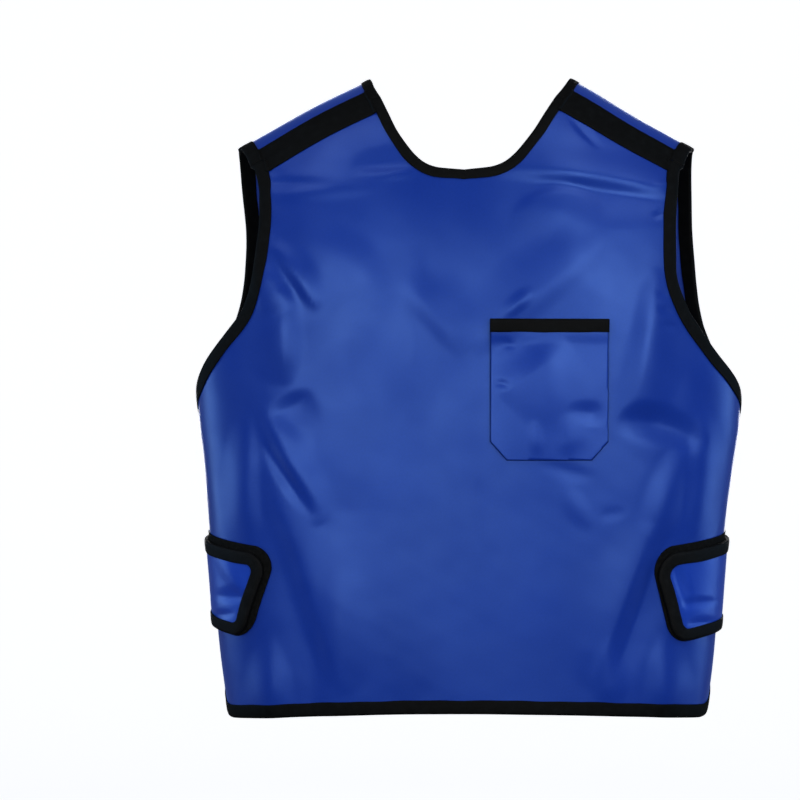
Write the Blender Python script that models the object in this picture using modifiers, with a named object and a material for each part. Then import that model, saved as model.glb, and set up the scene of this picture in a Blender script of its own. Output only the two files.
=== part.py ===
"""Sleeveless lead apron in its worn form, as a front and a back panel of filled cloth with taped edges.

Units are metres. The apron faces -Y and stands along +Z. Left and right are the wearer's, so left is
+X. The origin is where the shoulders carry it, half way down the slope of the shoulder ridge.

Every piece lies on one skin, which is the middle of the panels' cloth. A place on the skin is a pair
(turn, run). The turn is the angle round the body from the middle of the piece's own side, where a
quarter turn is the side seam. The run is the way over the shoulder and down: zero on the ridge,
growing down the piece's own side, and below zero over on the other side.
"""

import math
from collections import namedtuple

import bpy
import numpy as np
from mathutils import Vector
from mathutils.geometry import delaunay_2d_cdt

# Cloth, tape and clearances
CLOTH = 0.0024
TAPE = 0.0008
POCKET_CLOTH = 0.0014
TAB_CLOTH = 0.0018
PATCH_CLOTH = 0.0008
CLEARANCE = 0.0003
LEG_CLEARANCE = 0.0004
POCKET_CLEARANCE = 0.0005
BINDING_REACH = 0.0118
NECK_BINDING_REACH = 0.0085
NOSE_CLEARANCE = 0.0005

# Body form
CHEST_HALF_WIDTH = 0.270
FRONT_DEPTH = 0.104
BACK_DEPTH = 0.098
SHOULDER_DEPTH = 0.200
RIDGE_HEIGHT = 0.035
SHOULDER_FALL = 0.069
RIDGE_BLEND = 0.035
RIDGE_BEND = 0.060
FRONT_LENGTH = 0.6205
BACK_LENGTH = 1.0153 * FRONT_LENGTH
SLOPE_REACH = 0.434
HEM_SAG = 0.0135

# Neck, shoulders and armholes, as half widths and as depths below the neck corners
NECK_HALF_WIDTH = 0.1005
NECK_DEPTH = 0.0995
BACK_NECK_DEPTH = 0.101
SHOULDER_HALF_WIDTH = 0.8407 * CHEST_HALF_WIDTH
FRONT_HALF_WIDTH = 0.7474 * CHEST_HALF_WIDTH
BACK_HALF_WIDTH = 0.8352 * CHEST_HALF_WIDTH
SEAM_HALF_WIDTH = 0.7852 * CHEST_HALF_WIDTH
SEAM_RUN = 0.0623
ARMHOLE_DEPTH = 0.338
BACK_ARMHOLE_DEPTH = 0.292
SHOULDER_BAND_WIDTH = 0.0365

# Side edges, as turns from the middle of each panel's own side
FRONT_SIDE_TURN = math.radians(104.5)
BACK_SIDE_TURN = math.radians(70.5)
BACK_HEM_TURN = math.radians(64.0)
UNDERARM_ROUND = BINDING_REACH + 0.010
HEM_ROUND = BINDING_REACH + 0.046

# Pocket, from the middle line and from the height of the neck corners
POCKET_INNER = 0.025
POCKET_WIDTH = 0.1135
POCKET_HEIGHT = 0.1345
POCKET_DROP = 0.2437
POCKET_CUT_WIDTH = 0.016
POCKET_CUT_HEIGHT = 0.018
POCKET_BULGE = 0.0024
POCKET_BAND_REACH = 0.0112
POCKET_MOUTH_SHARE = 0.18
POCKET_MOUTH_EASE = 1.8

# Side tabs, from the height of the neck corners down
TAB_NOSE_TURN = math.radians(49.6)
TAB_CHIN_TURN = math.radians(60.0)
TAB_ROOT_TURN = math.radians(133.0)
TAB_HEIGHT = 0.078
TAB_NOSE_DROP = 0.7615 * FRONT_LENGTH
TAB_CHIN_DROP = TAB_NOSE_DROP + TAB_HEIGHT
TAB_ROOT_RISE = 0.0285
TAB_CHIN_RISE = 0.024
TAB_LANDING_TURN = math.radians(127.0)
TAB_FALL_TURN = math.radians(6.0)
TAB_BINDING_REACH = 0.0105
TAB_CHIN_ROUND = TAB_BINDING_REACH + 0.0075
PATCH_CLEARANCE = 0.0006
TAB_CLEARANCE = 0.0006
PATCH_TOP_MARGIN = 0.0085
PATCH_FOOT_MARGIN = 0.003
PATCH_BACK_TURN = math.radians(90.0)

Tab = namedtuple("Tab", "name sign forward deeper tip shown")
# Each side tab: which side, how much further forward its nose lies as a share of the nose's turn, how
# much deeper it is as a share of the tab's height, the radius inside its binding at the tip of its
# nose, and how much of the loop patch shows past the nose
TABS = (
    Tab("left", 1, 0.070, 0.065, 0.0100, 0.0050),
    Tab("right", -1, 0.0, 0.0, 0.0060, 0.0095),
)

# Fineness of the facets: spacing of the net of places and of the stations along edges
COLUMN = math.radians(6.0)
COLUMN_MARGIN = 0.4
ROW = 0.037
BACK_ROW = 0.044
FOLD_STEP = 0.028
FOLD_STATIONS = 3
FOLD_END_SHARE = 0.5
EDGE_STEP = 0.0155
SIDE_STEP = 0.034
PANEL_SPACING = 0.0085
POCKET_SPACING = 0.008
TAB_SPACING = 0.006
PATCH_SPACING = 0.007
JOIN_GAP = 0.005
SEAM_STATIONS = 6
UNDERARM_STATIONS = 3
HEM_CORNER_STATIONS = 5
NOSE_STATIONS = 4
ROOT_STATIONS = 4
PATCH_BACK_STATIONS = 2
SEAM_ROWS = (-0.66, -0.33, 0.0, 0.33, 0.66, 1.0)
BAND_ROWS = 4
BAND_COLUMNS = 5
POCKET_ROWS = (0.22, 0.40, 0.58, 0.76)
POCKET_COLUMNS = 5
POCKET_STEP = 0.028
TAB_ROWS = (0.3, 0.5, 0.7)
PATCH_ROWS = (0.2, 0.5, 0.8)
SHARP_ANGLE = math.radians(35.0)

# Fineness of the curves that the edges are read from, and steps of the searches on the skin
CURVE_SAMPLES = 61
LEAN_SAMPLES = 361
HALVINGS = 44
TRIES = 6
SKIN_STEP = 0.002
PLANE_SCALE = 0.2

FRONT = -1
BACK = 1

Girth = namedtuple("Girth", "drop width depth")
# Section of the body at each level: drop as a share of the front length, width and depth as shares
# of those at the chest
GIRTHS = (
    Girth(0.00, 1.000, 1.00),
    Girth(0.38, 1.002, 1.00),
    Girth(0.46, 0.995, 1.00),
    Girth(0.53, 0.978, 1.00),
    Girth(0.65, 0.952, 0.99),
    Girth(0.86, 0.912, 0.97),
    Girth(1.00, 0.868, 0.96),
)

Neckline = namedtuple("Neckline", "drop half")
# Below the shoulder seam: drop as a share of the neck depth, half width as a share of the neck's
FRONT_NECKLINE = (
    Neckline(0.00, 1.000),
    Neckline(0.22, 0.873),
    Neckline(0.40, 0.777),
    Neckline(0.58, 0.681),
    Neckline(0.75, 0.563),
    Neckline(0.84, 0.488),
    Neckline(0.92, 0.393),
    Neckline(0.97, 0.270),
    Neckline(1.00, 0.000),
)
BACK_NECKLINE = (
    Neckline(0.00, 1.000),
    Neckline(0.22, 0.940),
    Neckline(0.40, 0.880),
    Neckline(0.58, 0.800),
    Neckline(0.75, 0.665),
    Neckline(0.87, 0.490),
    Neckline(0.96, 0.270),
    Neckline(1.00, 0.000),
)

Armhole = namedtuple("Armhole", "drop around")
# Drop as a share of the armhole's depth, around as a share of the turn from its narrowest place to
# the panel's side edge
FRONT_ARMHOLE = (
    Armhole(0.20, 0.080),
    Armhole(0.26, 0.040),
    Armhole(0.34, 0.008),
    Armhole(0.44, 0.000),
    Armhole(0.57, 0.014),
    Armhole(0.68, 0.088),
    Armhole(0.75, 0.200),
    Armhole(0.82, 0.340),
    Armhole(0.89, 0.545),
    Armhole(0.95, 0.790),
    Armhole(1.00, 1.000),
)
BACK_ARMHOLE = (
    Armhole(0.20, 0.040),
    Armhole(0.35, 0.010),
    Armhole(0.48, 0.000),
    Armhole(0.65, 0.080),
    Armhole(0.74, 0.180),
    Armhole(0.83, 0.390),
    Armhole(0.91, 0.700),
    Armhole(1.00, 1.000),
)

Fold = namedtuple("Fold", "start_x start_drop end_x end_drop width height")
# Folds of the front: across and width as shares of the chest's half width, drops as shares of the
# front length, height as a share of the front depth, below zero where the cloth sinks
FOLDS = (
    Fold(-0.72, 0.630, -0.46, 0.925, 0.062, -0.058),
    Fold(-0.775, 0.640, -0.515, 0.925, 0.045, 0.022),
    Fold(-0.80, 0.555, -0.53, 0.705, 0.058, -0.042),
    Fold(0.63, 0.760, 0.48, 0.925, 0.060, -0.054),
    Fold(0.16, 0.165, 0.70, 0.205, 0.048, -0.030),
    Fold(0.16, 0.355, 0.62, 0.215, 0.070, 0.026),
    Fold(-0.69, 0.290, -0.55, 0.375, 0.050, -0.028),
)

BLUE = (0.045, 0.095, 0.405)
BLACK = (0.008, 0.009, 0.010)
MATT_BLACK = (0.012, 0.013, 0.015)


def clear_scene():
    """Removes every object that the scene starts with."""
    for thing in list(bpy.data.objects):
        bpy.data.objects.remove(thing, do_unlink=True)


def make_material(name, colour, roughness):
    """A plain material for one of the apron's cloths."""
    material = bpy.data.materials.new(name)
    material.use_nodes = True
    shader = material.node_tree.nodes["Principled BSDF"]
    shader.inputs["Base Color"].default_value = (*colour, 1.0)
    shader.inputs["Roughness"].default_value = roughness
    shader.inputs["Metallic"].default_value = 0.0
    return material


def smooth_table(places, values, place):
    """Reads a table between its rows along a smooth line that never overshoots them."""
    place = min(max(place, places[0]), places[-1])
    row = min(int(np.searchsorted(places, place, side="right")) - 1, len(places) - 2)
    steps = np.diff(places)
    slopes = np.diff(values) / steps

    def bend(knot):
        if knot == 0 or knot == len(places) - 1:
            return slopes[0] if knot == 0 else slopes[-1]
        before, after = slopes[knot - 1], slopes[knot]
        return 0.0 if before * after <= 0 else 2.0 * before * after / (before + after)

    width = steps[row]
    share = (place - places[row]) / width
    low, high = values[row], values[row + 1]
    rise = width * bend(row)
    level = width * bend(row + 1)
    cubic = 2.0 * low - 2.0 * high + rise + level
    square = 3.0 * high - 3.0 * low - 2.0 * rise - level
    return ((cubic * share + square) * share + rise) * share + low


def column(rows, name, scale=1.0):
    """One column of a table as an array."""
    return np.array([getattr(row, name) for row in rows]) * scale


GIRTH_DROPS = column(GIRTHS, "drop", FRONT_LENGTH)
GIRTH_WIDTHS = column(GIRTHS, "width", CHEST_HALF_WIDTH)
GIRTH_DEPTHS = column(GIRTHS, "depth")

# The way over the shoulder is a quarter ellipse, read by its length
LEAN_ANGLES = np.linspace(0.0, math.pi / 2, LEAN_SAMPLES)
LEAN_STEPS = np.hypot(
    np.diff(FRONT_DEPTH * np.sin(LEAN_ANGLES)),
    np.diff(SHOULDER_DEPTH * (1.0 - np.cos(LEAN_ANGLES))),
)
LEAN_RUNS = np.concatenate(([0.0], np.cumsum(LEAN_STEPS)))
UPRIGHT_RUN = float(LEAN_RUNS[-1])


def ease(share):
    """Smooth step from 0 to 1 as share goes from 0 to 1."""
    share = min(max(share, 0.0), 1.0)
    return share * share * (3.0 - 2.0 * share)


def over_shoulder(run):
    """The drop below the ridge, and the share of the full depth reached there."""
    angle = float(np.interp(abs(run), LEAN_RUNS, LEAN_ANGLES))
    drop = SHOULDER_DEPTH * (1.0 - math.cos(angle)) + max(abs(run) - UPRIGHT_RUN, 0.0)
    return drop, math.copysign(math.sin(angle), run)


def ridge_height(across):
    """Height of the shoulder ridge above the mount, level over the neck and then falling."""
    def past(place):
        beyond = abs(place) - RIDGE_BEND
        return 0.5 * (beyond + math.hypot(beyond, RIDGE_BLEND))

    slope = SHOULDER_FALL / (past(SHOULDER_HALF_WIDTH) - past(NECK_HALF_WIDTH))
    return RIDGE_HEIGHT - slope * (past(across) - past(NECK_HALF_WIDTH))


def ridge_share(run):
    """How much of the shoulders' slope is left this far down, all of it as far as the seam."""
    return 1.0 - ease((abs(run) - SEAM_RUN) / SLOPE_REACH)


def skin(side, turn, run):
    """The place of (turn, run) on the smooth skin, before any fold."""
    drop, lean = over_shoulder(run)
    across = smooth_table(GIRTH_DROPS, GIRTH_WIDTHS, drop) * math.sin(turn)
    facing = side * math.cos(turn) * lean
    depth = FRONT_DEPTH if facing < 0 else BACK_DEPTH
    depth *= smooth_table(GIRTH_DROPS, GIRTH_DEPTHS, drop)
    return np.array((across, facing * depth, ridge_height(across) * ridge_share(run) - drop))


def fold_line(fold):
    """Start of a fold seen from the front, and the way from there to its end."""
    start = np.array((fold.start_x * CHEST_HALF_WIDTH, RIDGE_HEIGHT - fold.start_drop * FRONT_LENGTH))
    end = np.array((fold.end_x * CHEST_HALF_WIDTH, RIDGE_HEIGHT - fold.end_drop * FRONT_LENGTH))
    return start, end - start


def fold_height(side, place):
    """How far the front's folds lift the cloth at this place."""
    if side == BACK:
        return 0.0
    height = 0.0
    for fold in FOLDS:
        start, along = fold_line(fold)
        offset = np.array((place[0], place[2])) - start
        share = float(offset @ along) / float(along @ along)
        if share <= 0.0 or share >= 1.0:
            continue
        aside = abs(along[0] * offset[1] - along[1] * offset[0]) / float(np.hypot(*along))
        near = aside / (fold.width * CHEST_HALF_WIDTH)
        if near < 1.0:
            height += fold.height * FRONT_DEPTH * (1.0 - near * near) ** 2 * math.sin(math.pi * share)
    return height


def tangents(side, turn, run):
    """The skin's two directions at a place, per radian of turn and per metre of run."""
    step = SKIN_STEP
    round_way = (skin(side, turn + step, run) - skin(side, turn - step, run)) / (2.0 * step)
    down_way = (skin(side, turn, run + step) - skin(side, turn, run - step)) / (2.0 * step)
    return round_way, down_way


def outward(side, turn, run):
    """The skin's unit normal, away from the body."""
    round_way, down_way = tangents(side, turn, run)
    normal = side * np.cross(round_way, down_way)
    return normal / np.linalg.norm(normal)


def on_cloth(side, place, lift=0.0):
    """The point at a place, lifted off the skin by its folds and by lift."""
    base = skin(side, *place)
    return base + outward(side, *place) * (lift + fold_height(side, base))


def run_at(side, turn, height):
    """The run at which the skin has this height."""
    low, high = 0.0, FRONT_LENGTH + BACK_LENGTH
    for _ in range(HALVINGS):
        middle = 0.5 * (low + high)
        if skin(side, turn, middle)[2] > height:
            low = middle
        else:
            high = middle
    return 0.5 * (low + high)


def turn_at(across, run):
    """The turn at which the skin is this far from the middle line."""
    half = smooth_table(GIRTH_DROPS, GIRTH_WIDTHS, over_shoulder(run)[0])
    return math.asin(max(-1.0, min(1.0, across / half)))


def spot(side, across, height):
    """The place that lies this far from the middle line and at this height."""
    turn = turn_at(across, 0.0)
    for _ in range(TRIES):
        run = run_at(side, turn, height)
        turn = turn_at(across, run)
    return turn, run


def lengths(side, path):
    """How far along a path each of its places lies."""
    points = [skin(side, *place) for place in path]
    steps = [float(np.linalg.norm(b - a)) for a, b in zip(points, points[1:])]
    return np.concatenate(([0.0], np.cumsum(steps)))


def stretch(side, path, start, end, spacing):
    """Even stations along a path, from start metres along it to end metres before its end."""
    far = lengths(side, path)
    first, last = start, far[-1] - end
    count = max(1, round((last - first) / spacing))
    marks = np.linspace(first, last, count + 1)
    turns = np.interp(marks, far, [place[0] for place in path])
    runs = np.interp(marks, far, [place[1] for place in path])
    return list(zip(turns.tolist(), runs.tolist()))


def metric(side, place):
    """The size on the skin of one radian of turn at a place."""
    return float(np.linalg.norm(tangents(side, *place)[0]))


def corner_cut(side, before, after, radius):
    """How far from a corner of two paths an arc of this radius begins."""
    scale = np.array((metric(side, after[0]), 1.0))
    back = (np.array(before[-2]) - np.array(before[-1])) * scale
    ahead = (np.array(after[1]) - np.array(after[0])) * scale
    cosine = float(back @ ahead) / float(np.hypot(*back) * np.hypot(*ahead))
    return radius / math.tan(0.5 * math.acos(cosine))


def corner(side, start, middle, end, count):
    """The inner places of the arc that rounds a corner between two places."""
    scale = np.array((metric(side, middle), 1.0))
    first = (np.array(start) - np.array(middle)) * scale
    last = (np.array(end) - np.array(middle)) * scale
    bisector = first / np.hypot(*first) + last / np.hypot(*last)
    bisector /= np.hypot(*bisector)
    centre = bisector * float(first @ first) / float(first @ bisector)
    spokes = [first - centre, last - centre]
    begin = math.atan2(spokes[0][1], spokes[0][0])
    sweep = (math.atan2(spokes[1][1], spokes[1][0]) - begin + math.pi) % (2.0 * math.pi) - math.pi
    places = []
    for number in range(1, count):
        share = number / count
        radius = np.hypot(*spokes[0]) * (1.0 - share) + np.hypot(*spokes[1]) * share
        angle = begin + sweep * share
        offset = (centre + radius * np.array((math.cos(angle), math.sin(angle)))) / scale
        places.append((middle[0] + float(offset[0]), middle[1] + float(offset[1])))
    return places


def mirrored(path):
    """The same path on the other side of the middle line."""
    return [(-turn, run) for turn, run in path]


def neckline(side):
    """Left half of a panel's neck edge, from the shoulder seam to the middle line."""
    rows, depth = (FRONT_NECKLINE, NECK_DEPTH) if side == FRONT else (BACK_NECKLINE, BACK_NECK_DEPTH)
    drops = column(rows, "drop", depth)
    halves = column(rows, "half", NECK_HALF_WIDTH)
    path = []
    if side == BACK:
        seam_half = neck_half_at_seam()
        for share in np.linspace(-1.0, 0.0, CURVE_SAMPLES):
            half = NECK_HALF_WIDTH - (NECK_HALF_WIDTH - seam_half) * share * share
            path.append((turn_at(half, share * SEAM_RUN), share * SEAM_RUN))
    for angle in np.linspace(0.0, math.pi / 2, CURVE_SAMPLES):
        drop = depth * math.sin(angle)
        half = float(smooth_table(drops, halves, drop))
        turn, run = spot(side, half, RIDGE_HEIGHT - drop)
        if run > (SEAM_RUN if side == FRONT else JOIN_GAP):
            path.append((turn, run))
    if side == FRONT:
        path.insert(0, (turn_at(neck_half_at_seam(), SEAM_RUN), SEAM_RUN))
    return path


def neck_half_at_seam():
    """Half width of the neck where the shoulder seams meet it."""
    drops = column(FRONT_NECKLINE, "drop", NECK_DEPTH)
    halves = column(FRONT_NECKLINE, "half", NECK_HALF_WIDTH)
    half = NECK_HALF_WIDTH
    for _ in range(TRIES):
        drop = RIDGE_HEIGHT - skin(FRONT, turn_at(half, SEAM_RUN), SEAM_RUN)[2]
        half = float(smooth_table(drops, halves, drop))
    return half


def armhole(side):
    """Left armhole edge of a panel, from the shoulder seam to the corner under the arm."""
    if side == FRONT:
        rows, depth, narrow, last_turn = FRONT_ARMHOLE, ARMHOLE_DEPTH, FRONT_HALF_WIDTH, FRONT_SIDE_TURN
    else:
        rows, depth, narrow, last_turn = BACK_ARMHOLE, BACK_ARMHOLE_DEPTH, BACK_HALF_WIDTH, BACK_SIDE_TURN
    first_turn = turn_at(narrow, SEAM_RUN)
    drops = column(rows, "drop", depth)
    turns = first_turn + column(rows, "around", last_turn - first_turn)
    path = []
    if side == FRONT:
        path.append((turn_at(SEAM_HALF_WIDTH, SEAM_RUN), SEAM_RUN))
    else:
        for share in np.linspace(-1.0, 0.0, CURVE_SAMPLES):
            half = SHOULDER_HALF_WIDTH + (SHOULDER_HALF_WIDTH - SEAM_HALF_WIDTH) * share
            path.append((turn_at(half, share * SEAM_RUN), share * SEAM_RUN))
    joined_run = path[-1][1] + JOIN_GAP
    for drop in np.linspace(drops[0], drops[-1], CURVE_SAMPLES):
        turn = float(smooth_table(drops, turns, drop))
        run = run_at(side, turn, RIDGE_HEIGHT - drop)
        if run > joined_run:
            path.append((turn, run))
    return path


def hem_run(side, turn):
    """Run of the hem, which sags a little toward the sides."""
    length = FRONT_LENGTH if side == FRONT else BACK_LENGTH
    return run_at(side, turn, RIDGE_HEIGHT - length - HEM_SAG * math.sin(turn) ** 2)


def side_turn(side, share):
    """Turn of a panel's side edge, from the underarm to the hem."""
    if side == FRONT:
        return FRONT_SIDE_TURN
    return BACK_SIDE_TURN + (BACK_HEM_TURN - BACK_SIDE_TURN) * share


def outer_edge(side):
    """Left half of a panel's armhole, side and hem edges, from the shoulder seam to the middle line."""
    arm = armhole(side)
    under = arm[-1]
    low_turn = side_turn(side, 1.0)
    foot = (low_turn, hem_run(side, low_turn))
    flank = [
        (side_turn(side, share), under[1] + (foot[1] - under[1]) * share)
        for share in np.linspace(0.0, 1.0, CURVE_SAMPLES)
    ]
    under_cut = corner_cut(side, arm, flank, UNDERARM_ROUND)
    hem = [(turn, hem_run(side, turn)) for turn in np.linspace(low_turn, 0.0, CURVE_SAMPLES)]
    foot_cut = corner_cut(side, flank, hem, HEM_ROUND)
    arm_part = stretch(side, arm, 0.0, under_cut, EDGE_STEP)
    flank_part = stretch(side, flank, under_cut, foot_cut, SIDE_STEP)
    hem_start = stretch(side, hem, foot_cut, 0.0, 1.0)[0]
    columns = range(int(math.floor(hem_start[0] / COLUMN - COLUMN_MARGIN)), -1, -1)
    hem_part = [hem_start] + [(step * COLUMN, hem_run(side, step * COLUMN)) for step in columns]
    under_arc = corner(side, arm_part[-1], under, flank_part[0], UNDERARM_STATIONS)
    foot_arc = corner(side, flank_part[-1], foot, hem_part[0], HEM_CORNER_STATIONS)
    return arm_part + under_arc + flank_part + foot_arc + hem_part


def inset(side, chain, reach, lead_in, lead_out):
    """Places this far inside an edge, and the matching inward vectors of metres at the edge."""
    points = [skin(side, *place) for place in chain]
    places, vectors = [], []
    for number, place in enumerate(chain):
        round_way, down_way = tangents(side, *place)
        normal = side * np.cross(round_way, down_way)
        normal /= np.linalg.norm(normal)
        inward = []
        for a, b in ((number - 1, number), (number, number + 1)):
            if a >= 0 and b < len(chain):
                along = points[b] - points[a]
                across = np.cross(normal, along) * side
                inward.append(across / np.linalg.norm(across))
        lead = lead_in if number == 0 else lead_out if number == len(chain) - 1 else None
        if lead is None:
            vector = (inward[0] + inward[1]) / (1.0 + float(inward[0] @ inward[1]))
        else:
            seam = skin(side, *lead) - points[number]
            vector = seam / float(seam @ inward[0])
        grid = np.column_stack((round_way, down_way))
        delta = np.linalg.lstsq(grid, vector * reach, rcond=None)[0]
        places.append((place[0] + float(delta[0]), place[1] + float(delta[1])))
        vectors.append(vector)
    return places, vectors


def flat(place):
    """A place as a point of the plane that the facets are laid out in."""
    return np.array((place[0] * PLANE_SCALE, place[1]))


def inside(point, ring):
    """Whether a point of the plane lies inside a closed ring of points."""
    hit = False
    for a, b in zip(ring, np.roll(ring, -1, axis=0)):
        if (a[1] > point[1]) != (b[1] > point[1]):
            if point[0] < a[0] + (b[0] - a[0]) * (point[1] - a[1]) / (b[1] - a[1]):
                hit = not hit
    return hit


def gap_to(point, ring):
    """Distance in the plane from a point to a closed ring."""
    nearest = 1.0
    for a, b in zip(ring, np.roll(ring, -1, axis=0)):
        along = b - a
        share = float((point - a) @ along) / float(along @ along)
        foot = a + along * min(max(share, 0.0), 1.0)
        nearest = min(nearest, float(np.hypot(*(point - foot))))
    return nearest


def lay_facets(chains, inner_chains, extra, margin):
    """Facets of a piece: strips of paired triangles along bound chains, and an even net inside them.

    Each chain is a list of places round the outline, and its inner chain is the matching list inside
    it, or None where the edge is free. Extra places go inside where they are margin or more from the
    rest. Returns the places and the triangles as numbers of places.
    """
    places, faces, ring = [], [], []
    for chain, inner in zip(chains, inner_chains):
        if inner is None:
            for place in chain[1:-1]:
                ring.append(len(places))
                places.append(place)
            continue
        first = len(places)
        count = len(chain)
        places.extend(chain)
        places.extend(inner)
        ring.extend(range(first + count, first + 2 * count))
        for number in range(count - 1):
            edge, deep = first + number, first + count + number
            faces.append((edge, edge + 1, deep))
            faces.append((edge + 1, deep + 1, deep))
    outline = np.array([flat(places[number]) for number in ring])
    kept = []
    for place in extra:
        point = flat(place)
        if not inside(point, outline) or gap_to(point, outline) < margin:
            continue
        if all(float(np.hypot(*(point - other))) >= margin for other in kept):
            kept.append(point)
            places.append(place)
    numbers = ring + list(range(len(places) - len(kept), len(places)))
    vectors = [Vector(point) for point in outline] + [Vector(point) for point in kept]
    rim = [list(range(len(ring)))]
    found = delaunay_2d_cdt(vectors, [], rim, 1, 1e-7)
    for face in found[2]:
        faces.append(tuple(numbers[found[3][vertex][0]] for vertex in face))
    turned = []
    for face in faces:
        a, b, c = (flat(places[number]) for number in face)
        area = (b[0] - a[0]) * (c[1] - a[1]) - (b[1] - a[1]) * (c[0] - a[0])
        turned.append(face if area > 0 else (face[0], face[2], face[1]))
    return places, turned


def add_shell(name, points, faces, thickness, material):
    """A piece of cloth or tape: an open surface along its middle, given its thickness."""
    mesh = bpy.data.meshes.new(name)
    mesh.from_pydata([tuple(point) for point in points], [], faces)
    mesh.update()
    mesh.materials.append(material)
    mesh.shade_smooth()
    mesh.set_sharp_from_angle(angle=SHARP_ANGLE)
    thing = bpy.data.objects.new(name, mesh)
    APRON.objects.link(thing)
    solidify = thing.modifiers.new("Thickness", "SOLIDIFY")
    solidify.thickness = thickness
    solidify.offset = 0.0
    solidify.use_even_offset = True
    solidify.use_quality_normals = True
    return thing


def add_binding(name, side, edge, inner, vectors, cloth, lift, material):
    """Tape folded round an edge, with a leg on each face of the cloth."""
    stand_off = 0.5 * cloth + LEG_CLEARANCE + 0.5 * TAPE
    nose = NOSE_CLEARANCE + 0.5 * TAPE
    points = []
    for place, deep, vector in zip(edge, inner, vectors):
        normal = outward(side, *place)
        centre = on_cloth(side, place, lift(place)) - vector * nose
        points.append(on_cloth(side, deep, lift(deep) + stand_off))
        points.append(centre + normal * stand_off)
        points.append(centre - normal * stand_off)
        points.append(on_cloth(side, deep, lift(deep) - stand_off))
    faces = []
    for first in range(0, len(points) - 4, 4):
        outer_deep, outer_edge_point, inner_edge_point, inner_deep = range(first, first + 4)
        faces.append((outer_edge_point, outer_edge_point + 4, outer_deep))
        faces.append((outer_edge_point + 4, outer_deep + 4, outer_deep))
        faces.append((inner_edge_point, inner_edge_point + 4, outer_edge_point + 4))
        faces.append((inner_edge_point, outer_edge_point + 4, outer_edge_point))
        faces.append((inner_deep, inner_edge_point + 4, inner_edge_point))
        faces.append((inner_deep, inner_deep + 4, inner_edge_point + 4))
    return add_shell(name, points, faces, TAPE, material)


def no_lift(_place):
    """The panels themselves lie on the skin."""
    return 0.0


def net(turns, runs):
    """Places at every crossing of a net of turns and runs."""
    return [(turn, run) for run in runs for turn in turns]


def fold_places():
    """Places along the top and the flanks of each fold, so that the facets can follow it."""
    places = []
    for fold in FOLDS:
        start, along = fold_line(fold)
        length = float(np.hypot(*along))
        across = np.array((along[1], -along[0])) / length * fold.width * CHEST_HALF_WIDTH
        count = max(FOLD_STATIONS, round(length / FOLD_STEP))
        for number in range(count + 1):
            spread = 1.0 if 0 < number < count else FOLD_END_SHARE
            for flank in (0.0, -spread, spread):
                point = start + along * number / count + across * flank
                places.append(spot(FRONT, float(point[0]), float(point[1])))
    return places


def make_panel(side):
    """One panel with its two bindings, and the inner edges that the shoulder bands reach to."""
    name = "front" if side == FRONT else "back"
    neck = neckline(side)
    neck = stretch(side, neck, 0.5 * CLEARANCE, 0.0, EDGE_STEP)
    neck_loop = mirrored(neck) + neck[::-1][1:]
    outer = outer_edge(side)
    outer[0] = stretch(side, armhole(side), 0.5 * CLEARANCE, 0.0, EDGE_STEP)[0]
    outer_loop = outer + mirrored(outer)[::-1][1:]
    seam_left = straight(neck[0], outer[0], SEAM_STATIONS)
    seam_right = mirrored(seam_left)[::-1]
    neck_inner, neck_vectors = inset(side, neck_loop, NECK_BINDING_REACH, seam_right[1], seam_left[1])
    outer_inner, outer_vectors = inset(side, outer_loop, BINDING_REACH, seam_left[-2], seam_right[1])
    half_turn = FRONT_SIDE_TURN if side == FRONT else BACK_SIDE_TURN
    steps = int(half_turn / COLUMN) + 1
    turns = [step * COLUMN for step in range(-steps, steps + 1)]
    low_run = hem_run(side, 0.0)
    shoulder_runs = [SEAM_RUN + step * SHOULDER_BAND_WIDTH * 0.5 for step in range(1, 3)]
    first_run = shoulder_runs[-1]
    row = ROW if side == FRONT else BACK_ROW
    count = round((low_run - first_run) / row)
    runs = [first_run + (low_run - first_run) * step / count for step in range(1, count + 1)]
    if side == BACK:
        shoulder_runs = [SEAM_RUN * share for share in SEAM_ROWS] + shoulder_runs
    extra = net(turns, shoulder_runs + runs)
    if side == FRONT:
        extra = fold_places() + extra
    places, faces = lay_facets(
        [neck_loop, seam_left, outer_loop, seam_right],
        [neck_inner, None, outer_inner, None],
        extra,
        PANEL_SPACING,
    )
    add_shell(name + "_panel", [on_cloth(side, place) for place in places], faces, CLOTH, MATERIALS["cloth"])
    add_binding(
        "neck_binding_" + name, side, neck_loop, neck_inner, neck_vectors, CLOTH, no_lift, MATERIALS["tape"]
    )
    add_binding(
        "edge_binding_" + name, side, outer_loop, outer_inner, outer_vectors, CLOTH, no_lift, MATERIALS["tape"]
    )
    return neck_inner, outer_inner


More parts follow.
